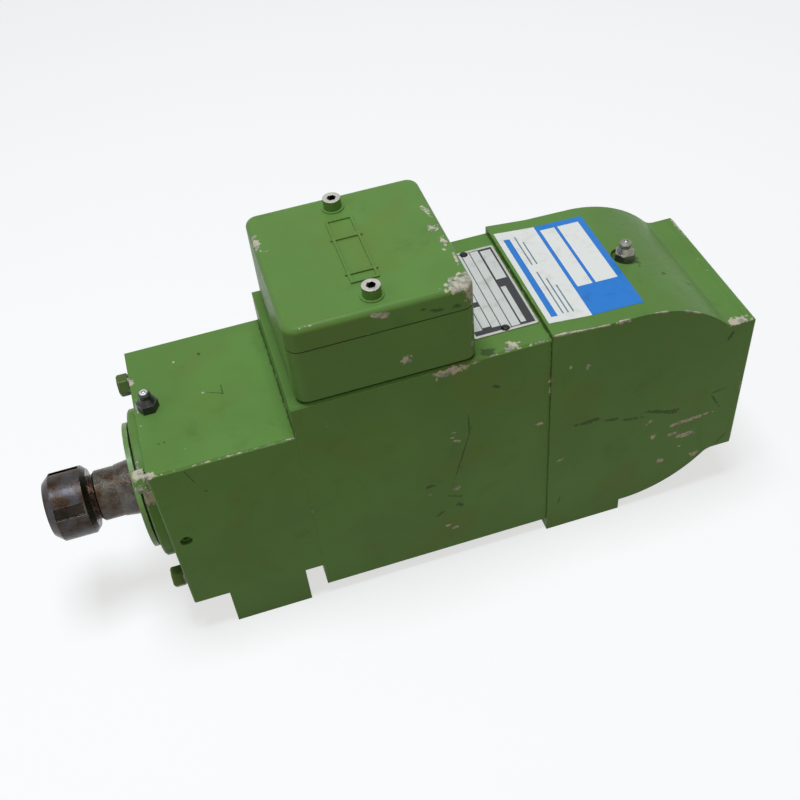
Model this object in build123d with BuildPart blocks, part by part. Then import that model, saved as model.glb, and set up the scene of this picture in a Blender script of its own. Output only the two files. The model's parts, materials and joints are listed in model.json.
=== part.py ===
from build123d import *
import os
from math import cos, radians, sin, sqrt, tan

# Motor spindle with a flat body: collet nose, front bearing housing, stator housing, rear housing
# and terminal box. Millimetres. The origin is on the spindle axis at the mouth of the collet,
# +X runs to the rear end, +Z is up through the terminal box.

os.makedirs("parts", exist_ok=True)

# Lengths along the spindle axis
nose_length = 56.0
front_length = 69.0
stator_length = 125.0
rear_length = 108.5

# Outlines across the axis
body_width = 88.0
front_height = 100.0
stator_height = 136.0
rear_overhang = 1.0
rear_end_height = 90.0
axis_height = 75.5
casting_edge = 1.2

# Feet
foot_setback = 18.5
foot_length = 40.5
rear_foot_length = 43.0
foot_hole_spacing = 60.0
foot_hole_radius = 4.0
front_foot_hole_depth = 16.0
rear_foot_hole_depth = 9.0
foot_hole_pitch = 175.0

# Walls of the castings
wall = 4.0
rear_collar_rise = 2.5
rear_collar_fall = 2.1
rear_collar_length = 22.0
rear_shoulder = 44.0
rear_lip_length = 15.0
rear_lip_round = 8.0
web_window_length = 24.0
web_window_width = 15.0
web_window_setback = 16.0
web_boss_wall = 1.0
web_setback = 34.0
web_thickness = 6.0
rear_hub_diameter = 60.0
register_length = 4.0
register_wall = 2.0

# Clearances
seat_gap = 0.02
running_gap = 0.05
race_gap = 0.05
open_gap = 0.35
screw_gap = 0.3

# Front bearings, an angular contact pair
front_bore = 25.0
front_outer = 52.0
front_ring_width = 15.0
front_ball = 8.0
front_balls = 10
front_cage_width = 11.0
front_land = 4.8
spacer_width = 3.0
cage_thickness = 2.4
ring_edge = 0.6

# Rear bearing
rear_bore = 20.0
rear_outer = 47.0
rear_ring_width = 14.0
rear_ball = 7.6
rear_balls = 8
rear_cage_width = 10.4
rear_land = 5.2
rear_bearing_setback = 38.0
preload_height = 2.4
preload_thickness = 1.0
preload_gap = 0.2
clip_width = 1.2
clip_depth = 0.5
clip_rim = 2.2
clip_opening = 4.0
hub_shoulder_diameter = 38.0
hub_shoulder_length = 6.0

# Bearing cover and slinger
cover_diameter = 76.5
cover_thickness = 6.0
spigot_length = 13.0
cover_screw_inset = 3.5
cover_thread = 3.0
cover_screw_depth = 9.0
cover_edge = 0.8
spigot_wall = 4.0
labyrinth_gap = 0.6
slinger_diameter = 64.5
slinger_thickness = 2.5
slinger_clearance = 1.7
slinger_hub_length = 9.8
slinger_hub_front = 26.8
slinger_hub_rear = 29.2
labyrinth_margin = 6.1
labyrinth_thickness = 2.0
labyrinth_length = 4.3

# Spindle shaft
nose_thread = 25.0
nose_diameter = 26.0
relief_diameter = 23.0
relief_length = 2.4
collar_diameter = 32.0
rotor_seat = 24.4
fan_seat = 18.0
fan_seat_setback = 18.0
tail_setback = 13.5
shaft_chamfer = 1.0
tool_bore_diameter = 13.0
tool_bore_end = 60.0
drill_point = 118.0
hold_hole_radius = 3.0
hold_hole_depth = 3.2
hold_hole_x = 30.5

# Collet and collet nut
shank_diameter = 10.0
collet_length = 31.5
collet_diameter = 20.9
collet_front_diameter = 17.2
collet_cone_length = 2.9
collet_land = 0.4
collet_groove_length = 2.0
collet_groove_depth = 1.55
collet_taper = 8.0
collet_cone = 30.0
collet_slits = 8
slit_width = 0.8
slit_web = 4.0
nut_diameter = 35.0
nut_recess = 0.5
nut_front_diameter = 28.0
nut_front_chamfer = 4.0
nut_end = 22.3
nut_rear_chamfer = 2.4
nut_slots = 4
nut_slot_width = 6.2
nut_slot_depth = 2.0
nut_slot_angle = 56.0
nut_slot_land = 0.6
extractor_thickness = 1.5
extractor_diameter = 24.0
extractor_bore_gap = 0.6
nose_face_gap = 0.2

# Lock nut behind the front bearings
lock_nut_diameter = 38.0
lock_nut_width = 7.0
lock_nut_chamfer = 1.0
lock_nut_slots = 4
lock_nut_slot_width = 5.0
lock_nut_slot_depth = 2.2
lock_washer_thickness = 1.2
lock_washer_inset = 2.0
lock_washer_tabs = 9
lock_washer_tab = 4.0
housing_lip_inset = 4.0

# Stator and rotor
core_length = 80.0
core_offset = 2.5
core_height = 112.0
core_back = 5.3
stator_slots = 24
slot_width = 3.2
slot_depth = 7.5
slot_lip = 1.2
slot_mouth = 1.6
slot_liner = 0.4
end_turn_length = 17.0
end_turn_thickness = 9.0
end_turn_gap = 3.0
end_turn_round = 2.5
end_turn_stub = 2.0
air_gap = 0.5
end_ring_width = 4.0
end_ring_setback = 1.0
end_ring_wall = 3.8
notch_gap = 0.5
stop_rib = 3.0
stop_rib_height = 20.0
ceiling_boss = 4.0
ceiling_boss_radius = 6.0
root = 0.5
vent_width = 3.2
vent_length = 50.0
vent_pitch = 6.0

# Fan
fan_tip_gap = 4.0
fan_width = 18.0
fan_plate = 2.0
fan_hub_wall = 4.0
fan_plate_inset = 4.0
fan_blade_setback = 2.0
fan_blade_root = 1.0
fan_blades = 8
blade_thickness = 1.6
fan_setback = 72.0

# Rear end plate and its air inlet
end_plate_thickness = 4.5
inlet_rings = 4
inlet_slot = 3.2
inlet_margin = 7.3
inlet_first = 12.0
inlet_spokes = 4
inlet_spoke_width = 5.0

# Terminal box
box_setback = 4.0
box_length = 85.0
box_corner = 6.0
box_wall = 3.5
box_floor = 3.0
box_base_height = 29.4
box_gasket_thickness = 2.0
gasket_inset = 2.5
lid_height = 12.5
lid_edge = 3.0
lid_roof = 3.5
lid_screw_setback = 41.5
lid_gasket_thickness = 0.6
lid_screw_inset = 10.0
lid_boss_radius = 7.0
lid_gasket_inset = 0.5
lid_boss_diameter = 11.0
lid_boss_height = 0.6
pad_length = 47.6
pad_width = 13.0
pad_line = 1.2
pad_bar_overhang = 1.0
pad_bar_far = 15.0
pad_bar_near = 41.0
pad_height = 0.8
wire_hole_setback = 15.0
wire_hole_length = 12.0
wire_hole_width = 30.0
base_screw_x = 34.0
base_screw_inset = 14.0
cable_hole_diameter = 20.0
cable_boss_diameter = 25.0
cable_boss_depth = 8.0
cable_setback = 64.0
earth_x = 18.0
earth_boss = 3.0
earth_boss_radius = 5.0

# Terminal board
board_length = 49.0
board_width = 34.0
board_height = 7.0
board_corner = 2.0
stud_pitch = 13.0
stud_row = 16.0
stud_height = 11.0
stud_depth = 5.0
stud_thread = 4.0
link_width = 7.0
link_thickness = 1.0
terminal_nut_flats = 7.0
terminal_nut_height = 3.2
board_screw_x = 20.5

# Nameplate
plate_length = 32.0
plate_width = 63.2
plate_thickness = 0.8
plate_corner = 1.0
plate_margin = 1.5
rivet_spacing = 58.8
rivet_shank = 2.4
rivet_head = 4.4
rivet_dome = 1.0
rivet_depth = 2.8
rivet_run = 0.2
rivet_shoulder = 0.7
rivet_crown = 2.9

# Grease nipples
nipple_thread = 8.0
nipple_thread_length = 6.0
nipple_hex = 9.0
nipple_hex_height = 4.5
nipple_foot = 7.8
nipple_neck = 5.2
nipple_head = 5.9
nipple_neck_drop = 3.6
nipple_head_drop = 2.4
nipple_cone_drop = 1.3
nipple_lip_width = 0.7
nipple_floor = 1.0
nipple_height = 11.0
nipple_ball = 2.4
front_nipple_setback = 7.0
rear_nipple_recess = 13.6
rear_nipple_depth = 2.6
rear_nipple_setback = 57.0
grease_boss_diameter = 14.0
nipple_passage = 1.6
nipple_chamber = 2.6
nipple_mouth = 1.8
nipple_lip = 0.4
ball_gap = 0.02
spring_wire = 0.3
spring_diameter = 1.9
spring_pitch = 1.1
grease_bore = 4.0
grease_boss_root = 5.0
grease_run = 1.0

# Screws
bolt_thread = 6.0
bolt_flats = 10.0
bolt_head = 5.6
bolt_inset_y = 10.5
bolt_inset_z = 12.0
bolt_engagement = 16.0
bolt_chamfer = 0.8
drill_run = 2.0
sink_angle = 90.0
cover_key = 2.0
plate_key = 2.5
board_key = 3.0
port_key = 3.0
port_key_depth = 3.0
box_key = 4.0
tie_key = 4.0
spring_washer = 1.6
small_thread = 4.0
box_thread = 5.0
port_thread = 6.0
port_plug_length = 8.0
port_plug_recess = 2.5
head_ratio = 0.85
washer_diameter = 9.9
washer_split = 1.0
tie_thread = 5.0
tie_z = 36.0
tie_boss_radius = 7.0
tie_engagement = 16.0
plate_screw_inset = 7.0
plate_screw_z = 20.0
plate_boss_radius = 4.5
plate_boss_length = 12.0
plate_engagement = 8.0
base_engagement = 7.0
earth_engagement = 5.0
board_engagement = 1.8
lid_engagement = 12.0
floor_skin = 1.0

# Stations along the axis
front_face = nose_length
seam = front_face + front_length
rear_seam = seam + stator_length
tail = rear_seam + rear_length
plate_front = tail - end_plate_thickness
lip_front = tail - rear_lip_length
foot_start = front_face + foot_setback
foot_end = foot_start + foot_length
bearing_a = front_face + spigot_length
bearing_b = bearing_a + front_ring_width + spacer_width
bearing_end = bearing_b + front_ring_width
housing_lip = bearing_end + spacer_width
rear_bearing = rear_seam + rear_bearing_setback
core_start = (seam + rear_seam - core_length) / 2 + core_offset
core_end = core_start + core_length
fan_start = rear_seam + fan_setback
slinger_back = front_face - cover_thickness - slinger_clearance
slinger_front = slinger_back - slinger_thickness
floor_level = -axis_height
rear_width = body_width + 2 * rear_overhang
stator_bore = body_width - 2 * (wall + core_back + slot_depth + slot_lip)
fan_diameter = rear_width - 2 * (wall + fan_tip_gap)
bolt_y = body_width / 2 - bolt_inset_y
bolt_z = front_height / 2 - bolt_inset_z
stator_top = stator_height / 2
nipple_x = front_face + front_nipple_setback
rear_nipple_x = rear_seam + rear_nipple_setback
box_front = seam + box_setback
box_middle = box_front + box_length / 2
lid_screw_x = box_front + lid_screw_setback
base_bottom = stator_top + box_gasket_thickness
base_top = base_bottom + box_base_height
lid_bottom = base_top + lid_gasket_thickness
lid_top = lid_bottom + lid_height


def save(piece, node):
    """Label a finished piece and write its file."""
    piece.part.label = node
    export_step(piece.part, f"parts/{node}.step")


def turn(outline, mode=Mode.ADD):
    """Revolve a closed outline of (x, radius) corners about the spindle axis."""
    with BuildSketch(Plane.XZ) as section:
        with BuildLine():
            Polyline(*outline, close=True)
        make_face()
    revolve(section.sketch, axis=Axis.X, mode=mode)


def ring(start, end, inner, outer, mode=Mode.ADD):
    """A plain ring about the spindle axis, from radius inner to outer."""
    turn([(start, inner), (end, inner), (end, outer), (start, outer)], mode)


def turn_upright(x, y, outline, mode=Mode.ADD):
    """Revolve a closed outline of (radius, z) corners about an upright axis at x, y."""
    with BuildSketch(Plane(origin=(x, y, 0), x_dir=(1, 0, 0), z_dir=(0, -1, 0))) as section:
        with BuildLine():
            Polyline(*outline, close=True)
        make_face()
    revolve(section.sketch, axis=Axis((x, y, 0), (0, 0, 1)), mode=mode)


def column(plane, radius, depth, points=((0, 0),), mode=Mode.ADD):
    """Round bars or holes of one radius and depth on a plane, at the points given."""
    with BuildSketch(plane) as section:
        with Locations(*points):
            Circle(radius)
    extrude(section.sketch, amount=depth, mode=mode)


def hexagon(plane, flats, depth, points=((0, 0),), mode=Mode.ADD):
    """Hexagonal bars or sockets of one width across flats on a plane."""
    with BuildSketch(plane) as section:
        with Locations(*points):
            RegularPolygon(flats / 2, 6, major_radius=False)
    extrude(section.sketch, amount=depth, mode=mode)


def block(plane, width, height, depth, points=((0, 0),), mode=Mode.ADD):
    """Rectangular bars or pockets on a plane, at the points given."""
    with BuildSketch(plane) as section:
        with Locations(*points):
            Rectangle(width, height)
    extrude(section.sketch, amount=depth, mode=mode)


def corners(half_x, half_y):
    """The four corners of a rectangle about a plane's origin."""
    return [(sx * half_x, sy * half_y) for sx in (-1, 1) for sy in (-1, 1)]


def across(x):
    """The plane across the spindle axis at x, with local x along Y and local y along Z."""
    return Plane.YZ.offset(x)


def upright(x, y, z):
    """A level plane at a height, facing up."""
    return Plane(origin=(x, y, z), x_dir=(1, 0, 0), z_dir=(0, 0, 1))


def downward(x, y, z):
    """A level plane at a height, facing down."""
    return Plane(origin=(x, y, z), x_dir=(1, 0, 0), z_dir=(0, 0, -1))


def forward(x):
    """The plane across the spindle axis at x, facing the nose."""
    return Plane(origin=(x, 0, 0), x_dir=(0, -1, 0), z_dir=(-1, 0, 0))


def bearing_ring(start, width, inner, outer, pitch, ball):
    """One ring of a ball bearing, with its race turned by the ball."""
    with BuildSketch(Plane.XZ) as section:
        with BuildLine():
            Polyline(
                (start + ring_edge, inner),
                (start + width - ring_edge, inner),
                (start + width, inner + ring_edge),
                (start + width, outer - ring_edge),
                (start + width - ring_edge, outer),
                (start + ring_edge, outer),
                (start, outer - ring_edge),
                (start, inner + ring_edge),
                close=True,
            )
        make_face()
        with Locations((start + width / 2, pitch)):
            Circle(ball / 2 + race_gap, mode=Mode.SUBTRACT)
    revolve(section.sketch, axis=Axis.X)


def ball_places(middle, pitch, count):
    """Places round the axis at which local Z points outwards."""
    return [Location((middle, 0, 0), (360 * k / count, 0, 0)) * Location((0, 0, pitch))
            for k in range(count)]


def bearing_cage(middle, width, pitch, ball, count):
    """A plain ring cage with a round pocket for every ball."""
    ring(middle - width / 2, middle + width / 2, pitch - cage_thickness / 2, pitch + cage_thickness / 2)
    with Locations(*ball_places(middle, pitch, count)):
        Cylinder(ball / 2 + 2 * race_gap, 2 * cage_thickness, mode=Mode.SUBTRACT)


def cap_screws(plane, thread, length, key, points=((0, 0),)):
    """Socket head cap screws: heads outward of the plane, shanks behind it."""
    column(plane, thread * head_ratio, thread, points)
    column(plane, thread / 2, -length, points)
    hexagon(plane.offset(thread), key, -thread / 2, points, Mode.SUBTRACT)


def countersunk_screws(x, rotation, thread, length, key, points):
    """Countersunk socket screws whose flush heads lie at x."""
    sink = thread / 2
    spots = [Location((x, y, z), (0, rotation, 0)) for y, z in points]
    low = (Align.CENTER, Align.CENTER, Align.MAX)
    with Locations(*spots):
        Cylinder(thread / 2, length, align=low)
        Cone(thread / 2, thread, sink, align=low)
    facing = forward(x) if rotation < 0 else across(x)
    hexagon(facing, key, -sink, [(y * facing.x_dir.Y, z) for y, z in points], Mode.SUBTRACT)


# Front bearing housing: a block with a clamping foot, bored for the bearing pair
housing_bore = front_outer / 2 + seat_gap
housing_lip_bore = front_outer / 2 - housing_lip_inset
winding_cavity = stator_bore / 2 + end_turn_thickness + end_turn_gap
cover_screw_radius = front_outer / 2 + cover_screw_inset
cover_screw_points = [(cover_screw_radius * cos(radians(a)), cover_screw_radius * sin(radians(a)))
                      for a in (45, 135, 225, 315)]
port_z = 0.0

with BuildPart() as front_bearing_housing:
    with BuildSketch(Plane.XZ) as side_view:
        with BuildLine():
            Polyline(
                (front_face, front_height / 2),
                (seam, front_height / 2),
                (seam, -front_height / 2),
                (foot_end, -front_height / 2),
                (foot_end, floor_level),
                (foot_start, floor_level),
                (foot_start, -front_height / 2),
                (front_face, -front_height / 2),
                close=True,
            )
        make_face()
    extrude(amount=body_width / 2, both=True)
    chamfer(edges().filter_by(Axis.X).group_by(Axis.Z)[-1], casting_edge)
    fillet(edges().filter_by(Axis.Z).group_by(Axis.X)[0], casting_edge)
    turn(
        [
            (front_face - 1, 0),
            (front_face - 1, housing_bore),
            (bearing_end, housing_bore),
            (bearing_end, housing_lip_bore),
            (housing_lip, housing_lip_bore),
            (housing_lip, winding_cavity),
            (seam + 1, winding_cavity),
            (seam + 1, 0),
        ],
        Mode.SUBTRACT,
    )
    column(across(front_face), bolt_thread / 2 + screw_gap, front_length,
           corners(bolt_y, bolt_z), Mode.SUBTRACT)
    column(across(front_face), cover_thread / 2 + seat_gap, cover_screw_depth + drill_run,
           cover_screw_points, Mode.SUBTRACT)
    column(downward(nipple_x, 0, front_height / 2), nipple_thread / 2 + seat_gap,
           nipple_thread_length + drill_run, mode=Mode.SUBTRACT)
    column(downward(nipple_x, 0, front_height / 2), grease_bore / 2, front_height / 2,
           mode=Mode.SUBTRACT)
    side_port = Plane(origin=(nipple_x, -body_width / 2, port_z), x_dir=(1, 0, 0), z_dir=(0, 1, 0))
    column(side_port, port_thread / 2 + seat_gap, port_plug_recess + port_plug_length,
           mode=Mode.SUBTRACT)
    column(side_port, grease_bore / 2, body_width / 2, mode=Mode.SUBTRACT)
    column(upright((foot_start + foot_end) / 2, 0, floor_level), foot_hole_radius, front_foot_hole_depth,
           [(0, -foot_hole_spacing / 2), (0, foot_hole_spacing / 2)], Mode.SUBTRACT)
save(front_bearing_housing, "front_bearing_housing")

# Front bearing cover: a round flange whose spigot holds the bearing pair
cover_front = front_face - cover_thickness
cover_bore = collar_diameter / 2 + open_gap
spigot_outer = housing_bore - seat_gap
spigot_inner = spigot_outer - spigot_wall
labyrinth_outer = cover_screw_radius - labyrinth_margin + labyrinth_thickness / 2
labyrinth_inner = labyrinth_outer - labyrinth_thickness
groove_depth = labyrinth_length - slinger_clearance + labyrinth_gap

with BuildPart() as front_bearing_cover:
    turn([
        (cover_front, cover_bore),
        (cover_front, labyrinth_inner - labyrinth_gap),
        (cover_front + groove_depth, labyrinth_inner - labyrinth_gap),
        (cover_front + groove_depth, labyrinth_outer + labyrinth_gap),
        (cover_front, labyrinth_outer + labyrinth_gap),
        (cover_front, cover_diameter / 2 - cover_edge),
        (cover_front + cover_edge, cover_diameter / 2),
        (front_face, cover_diameter / 2),
        (front_face, spigot_outer),
        (bearing_a, spigot_outer),
        (bearing_a, spigot_inner),
        (front_face, spigot_inner),
        (front_face, cover_bore),
    ])
    with Locations(*[Location((cover_front, y, z), (0, -90, 0)) for y, z in cover_screw_points]):
        CounterSinkHole(cover_thread / 2 + screw_gap, cover_thread + screw_gap, cover_thickness, sink_angle)
    column(Plane.XY.offset(0), grease_bore / 2, front_outer, [(nipple_x, 0)], Mode.SUBTRACT)
    column(Plane(origin=(nipple_x, 0, port_z), x_dir=(1, 0, 0), z_dir=(0, -1, 0)), grease_bore / 2,
           front_outer, mode=Mode.SUBTRACT)
save(front_bearing_cover, "front_bearing_cover")

# Screws of the front end, and the plug of the side grease port
head_seat = front_face - spring_washer

with BuildPart() as front_cover_screws:
    countersunk_screws(cover_front, -90, cover_thread, cover_thickness + cover_screw_depth, cover_key,
                       cover_screw_points)
save(front_cover_screws, "front_cover_screws")

with BuildPart() as spring_washers:
    column(forward(front_face), washer_diameter / 2, spring_washer, corners(bolt_y, bolt_z))
    column(forward(front_face), bolt_thread / 2 + screw_gap, spring_washer, corners(bolt_y, bolt_z),
           Mode.SUBTRACT)
    block(forward(front_face), washer_split, washer_diameter / 2, spring_washer,
          [(y, z + washer_diameter / 4) for y, z in corners(bolt_y, bolt_z)], Mode.SUBTRACT)
save(spring_washers, "spring_washers")

with BuildPart() as housing_bolts:
    hexagon(forward(head_seat), bolt_flats, bolt_head, corners(bolt_y, bolt_z))
    chamfer(edges().group_by(Axis.X)[0], bolt_chamfer)
    column(across(head_seat), bolt_thread / 2, spring_washer + front_length + bolt_engagement,
           corners(bolt_y, bolt_z))
save(housing_bolts, "housing_bolts")

with BuildPart() as grease_port_plug:
    column(side_port.offset(port_plug_recess), port_thread / 2, port_plug_length)
    hexagon(side_port.offset(port_plug_recess), port_key, port_key_depth, mode=Mode.SUBTRACT)
save(grease_port_plug, "grease_port_plug")

# Stator housing: a rectangular shell with bolt bosses, a register ring and the wire opening
cavity_y = body_width / 2 - wall
cavity_z = stator_top - wall
register_radius = winding_cavity - seat_gap
wire_hole_x = seam + wire_hole_setback
plate_x = rear_seam - plate_margin - plate_length / 2
base_screw_points = corners(base_screw_x, body_width / 2 - base_screw_inset)
rivet_points = [(0, -rivet_spacing / 2), (0, rivet_spacing / 2)]
rib_y = cavity_y + root - stop_rib / 2

with BuildPart() as stator_housing:
    block(across(seam), body_width, stator_height, stator_length)
    chamfer(edges().filter_by(Axis.X), casting_edge)
    block(across(seam + wall), 2 * cavity_y, 2 * cavity_z, stator_length, mode=Mode.SUBTRACT)
    ring(seam - register_length, seam, register_radius - register_wall, register_radius)
    column(across(seam), register_radius - register_wall, wall, mode=Mode.SUBTRACT)
    column(across(seam), tie_boss_radius, core_start - seam, corners(bolt_y, bolt_z))
    column(across(core_end), tie_boss_radius, rear_seam - core_end, corners(bolt_y, tie_z))
    block(across(seam + root), stop_rib, stop_rib_height, core_start - seam - root,
          [(-rib_y, 0), (rib_y, 0)])
    column(downward(box_middle, 0, cavity_z + root), ceiling_boss_radius, ceiling_boss + root,
           base_screw_points)
    column(across(seam), bolt_thread / 2 + seat_gap, bolt_engagement + drill_run, corners(bolt_y, bolt_z),
           Mode.SUBTRACT)
    column(forward(rear_seam), tie_thread / 2 + seat_gap, tie_engagement + drill_run,
           corners(bolt_y, tie_z), Mode.SUBTRACT)
    column(downward(box_middle, 0, stator_top), box_thread / 2 + seat_gap, wall + ceiling_boss,
           base_screw_points, Mode.SUBTRACT)
    block(downward(wire_hole_x, 0, stator_top), wire_hole_length, wire_hole_width, wall, mode=Mode.SUBTRACT)
    block(upright(wire_hole_x, 0, -stator_top), vent_width, vent_length, wall,
          [(-vent_pitch, 0), (0, 0), (vent_pitch, 0)], Mode.SUBTRACT)
    column(downward(plate_x, 0, stator_top), rivet_shank / 2 + seat_gap, rivet_depth + rivet_run,
           rivet_points, Mode.SUBTRACT)
save(stator_housing, "stator_housing")

# Stator core and windings
slot_inner = stator_bore / 2 + slot_lip
slot_outer = slot_inner + slot_depth
notch_y = bolt_y - tie_boss_radius - notch_gap
notch_z = tie_z - tie_boss_radius - notch_gap

with BuildPart() as stator_core:
    block(across(core_start), 2 * (cavity_y - seat_gap), 2 * notch_z, core_length)
    block(across(core_start), 2 * notch_y, core_height, core_length)
    column(across(core_start), stator_bore / 2, core_length, mode=Mode.SUBTRACT)
    with BuildSketch(across(core_start)):
        with PolarLocations((slot_inner + slot_outer) / 2, stator_slots):
            Rectangle(slot_depth, slot_width)
        with PolarLocations(stator_bore / 2 + slot_lip / 2, stator_slots):
            Rectangle(2 * slot_lip, slot_mouth)
    extrude(amount=core_length, mode=Mode.SUBTRACT)
save(stator_core, "stator_core")

turn_inner = slot_inner + slot_liner
turn_outer = turn_inner + end_turn_thickness

with BuildPart() as stator_windings:
    with BuildSketch(across(core_start - end_turn_stub)):
        with PolarLocations((slot_inner + slot_outer) / 2, stator_slots):
            Rectangle(slot_depth - 2 * slot_liner, slot_width - 2 * slot_liner)
    extrude(amount=core_length + 2 * end_turn_stub)
    for near, far in ((core_start - end_turn_stub / 2, core_start - end_turn_length),
                      (core_end + end_turn_stub / 2, core_end + end_turn_length)):
        lean = end_turn_round if far > near else -end_turn_round
        turn([(near, turn_inner), (far - lean, turn_inner), (far, turn_inner + end_turn_round),
              (far, turn_outer - end_turn_round), (far - lean, turn_outer), (near, turn_outer)])
save(stator_windings, "stator_windings")

# Front bearing pair and its spacers
front_pitch = (front_bore + front_outer) / 4
front_land_in = (front_bore + front_outer) / 4 - front_land / 2
front_land_out = (front_bore + front_outer) / 4 + front_land / 2
shaft_seat = front_bore / 2 - seat_gap


def front_bearing(letter, start):
    """The four pieces of one front bearing."""
    middle = start + front_ring_width / 2
    with BuildPart() as outer_ring:
        bearing_ring(start, front_ring_width, front_land_out, front_outer / 2, front_pitch, front_ball)
    save(outer_ring, f"bearing_{letter}_outer_ring")
    with BuildPart() as inner_ring:
        bearing_ring(start, front_ring_width, front_bore / 2, front_land_in, front_pitch, front_ball)
    save(inner_ring, f"bearing_{letter}_inner_ring")
    with BuildPart() as cage:
        bearing_cage(middle, front_cage_width, front_pitch, front_ball, front_balls)
    save(cage, f"bearing_{letter}_cage")
    with BuildPart() as balls:
        with Locations(*ball_places(middle, front_pitch, front_balls)):
            Sphere(front_ball / 2)
    save(balls, f"bearing_{letter}_balls")


front_bearing("a", bearing_a)
front_bearing("b", bearing_b)

with BuildPart() as outer_spacer_ring:
    ring(bearing_a + front_ring_width, bearing_b, front_land_out, front_outer / 2)
save(outer_spacer_ring, "outer_spacer_ring")

with BuildPart() as inner_spacer_ring:
    ring(bearing_a + front_ring_width, bearing_b, front_bore / 2, front_land_in)
save(inner_spacer_ring, "inner_spacer_ring")

# Lock washer and lock nut behind the bearing pair
lock_nut_start = bearing_end + lock_washer_thickness
lock_nut_end = lock_nut_start + lock_nut_width

with BuildPart() as lock_washer:
    ring(bearing_end, lock_nut_start, front_bore / 2, lock_nut_diameter / 2 - lock_washer_inset)
    with BuildSketch(across(bearing_end)):
        with PolarLocations(lock_nut_diameter / 2 - lock_washer_inset, lock_washer_tabs):
            Rectangle(lock_washer_tab, lock_washer_tab)
    extrude(amount=lock_washer_thickness)
save(lock_washer, "lock_washer")

with BuildPart() as bearing_lock_nut:
    ring(lock_nut_start, lock_nut_end, front_bore / 2, lock_nut_diameter / 2)
    chamfer(edges().group_by(Axis.X)[-1].sort_by(SortBy.RADIUS)[-1], lock_nut_chamfer)
    with BuildSketch(across(lock_nut_start)):
        with PolarLocations(lock_nut_diameter / 2, lock_nut_slots):
            Rectangle(2 * lock_nut_slot_depth, lock_nut_slot_width)
    extrude(amount=lock_nut_width, mode=Mode.SUBTRACT)
save(bearing_lock_nut, "bearing_lock_nut")

# Spindle shaft: collet seat and thread, bearing seats, rotor seat, fan seat
collet_radius = collet_diameter / 2
taper_start = collet_cone_length + collet_groove_length + collet_land
taper_fall = tan(radians(collet_taper))
nose_face = taper_start + nose_face_gap
seat_offset = running_gap / cos(radians(collet_taper))
relief_end = nut_end + relief_length
fan_seat_x = rear_bearing + fan_seat_setback
tail_end = tail - tail_setback
bearing_clip = rear_bearing + rear_ring_width
fan_clip = fan_start + fan_width
hub_front = slinger_front - slinger_hub_length
tool_bore = tool_bore_diameter / 2
bore_meets_taper = taper_start + (collet_radius + seat_offset - tool_bore) / taper_fall

with BuildPart() as spindle_shaft:
    turn([
        (nose_face, 0),
        (nose_face, nose_thread / 2 - shaft_chamfer),
        (nose_face + shaft_chamfer, nose_thread / 2),
        (nut_end, nose_thread / 2),
        (nut_end, relief_diameter / 2),
        (relief_end, relief_diameter / 2),
        (relief_end, nose_diameter / 2 - shaft_chamfer),
        (relief_end + shaft_chamfer, nose_diameter / 2),
        (slinger_back, nose_diameter / 2),
        (slinger_back, collar_diameter / 2),
        (bearing_a, collar_diameter / 2),
        (bearing_a, shaft_seat),
        (lock_nut_end, shaft_seat),
        (lock_nut_end, rotor_seat / 2),
        (rear_bearing, rotor_seat / 2),
        (rear_bearing, rear_bore / 2 - seat_gap),
        (bearing_clip, rear_bore / 2 - seat_gap),
        (bearing_clip, rear_bore / 2 - clip_depth),
        (bearing_clip + clip_width, rear_bore / 2 - clip_depth),
        (bearing_clip + clip_width, rear_bore / 2 - seat_gap),
        (fan_seat_x, rear_bore / 2 - seat_gap),
        (fan_seat_x, fan_seat / 2),
        (fan_clip, fan_seat / 2),
        (fan_clip, fan_seat / 2 - clip_depth),
        (fan_clip + clip_width, fan_seat / 2 - clip_depth),
        (fan_clip + clip_width, fan_seat / 2),
        (tail_end - shaft_chamfer, fan_seat / 2),
        (tail_end, fan_seat / 2 - shaft_chamfer),
        (tail_end, 0),
    ])
    turn([
        (nose_face, 0),
        (nose_face, collet_radius + seat_offset - (nose_face - taper_start) * taper_fall),
        (bore_meets_taper, tool_bore),
        (tool_bore_end, tool_bore),
        (tool_bore_end + tool_bore / tan(radians(drill_point / 2)), 0),
    ], Mode.SUBTRACT)
    column(upright(hold_hole_x, 0, -nose_diameter / 2), hold_hole_radius, hold_hole_depth,
           mode=Mode.SUBTRACT)
save(spindle_shaft, "spindle_shaft")

# Slinger: a cone pressed on the shaft with a disc and a labyrinth rim
with BuildPart() as slinger:
    turn([
        (hub_front, nose_diameter / 2 + seat_gap),
        (hub_front, slinger_hub_front / 2),
        (slinger_front, slinger_hub_rear / 2),
        (slinger_front, slinger_diameter / 2),
        (slinger_back, slinger_diameter / 2),
        (slinger_back, labyrinth_outer),
        (slinger_back + labyrinth_length, labyrinth_outer),
        (slinger_back + labyrinth_length, labyrinth_inner),
        (slinger_back, labyrinth_inner),
        (slinger_back, nose_diameter / 2 + seat_gap),
    ])
save(slinger, "slinger")

# Rotor
with BuildPart() as rotor_core:
    ring(core_start, core_end, rotor_seat / 2 + seat_gap, stator_bore / 2 - air_gap)
save(rotor_core, "rotor_core")

with BuildPart() as rotor_end_rings:
    for start in (core_start - end_ring_width, core_end):
        ring(start, start + end_ring_width, rotor_seat / 2 + end_ring_wall,
             stator_bore / 2 - air_gap - end_ring_setback)
save(rotor_end_rings, "rotor_end_rings")

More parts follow.
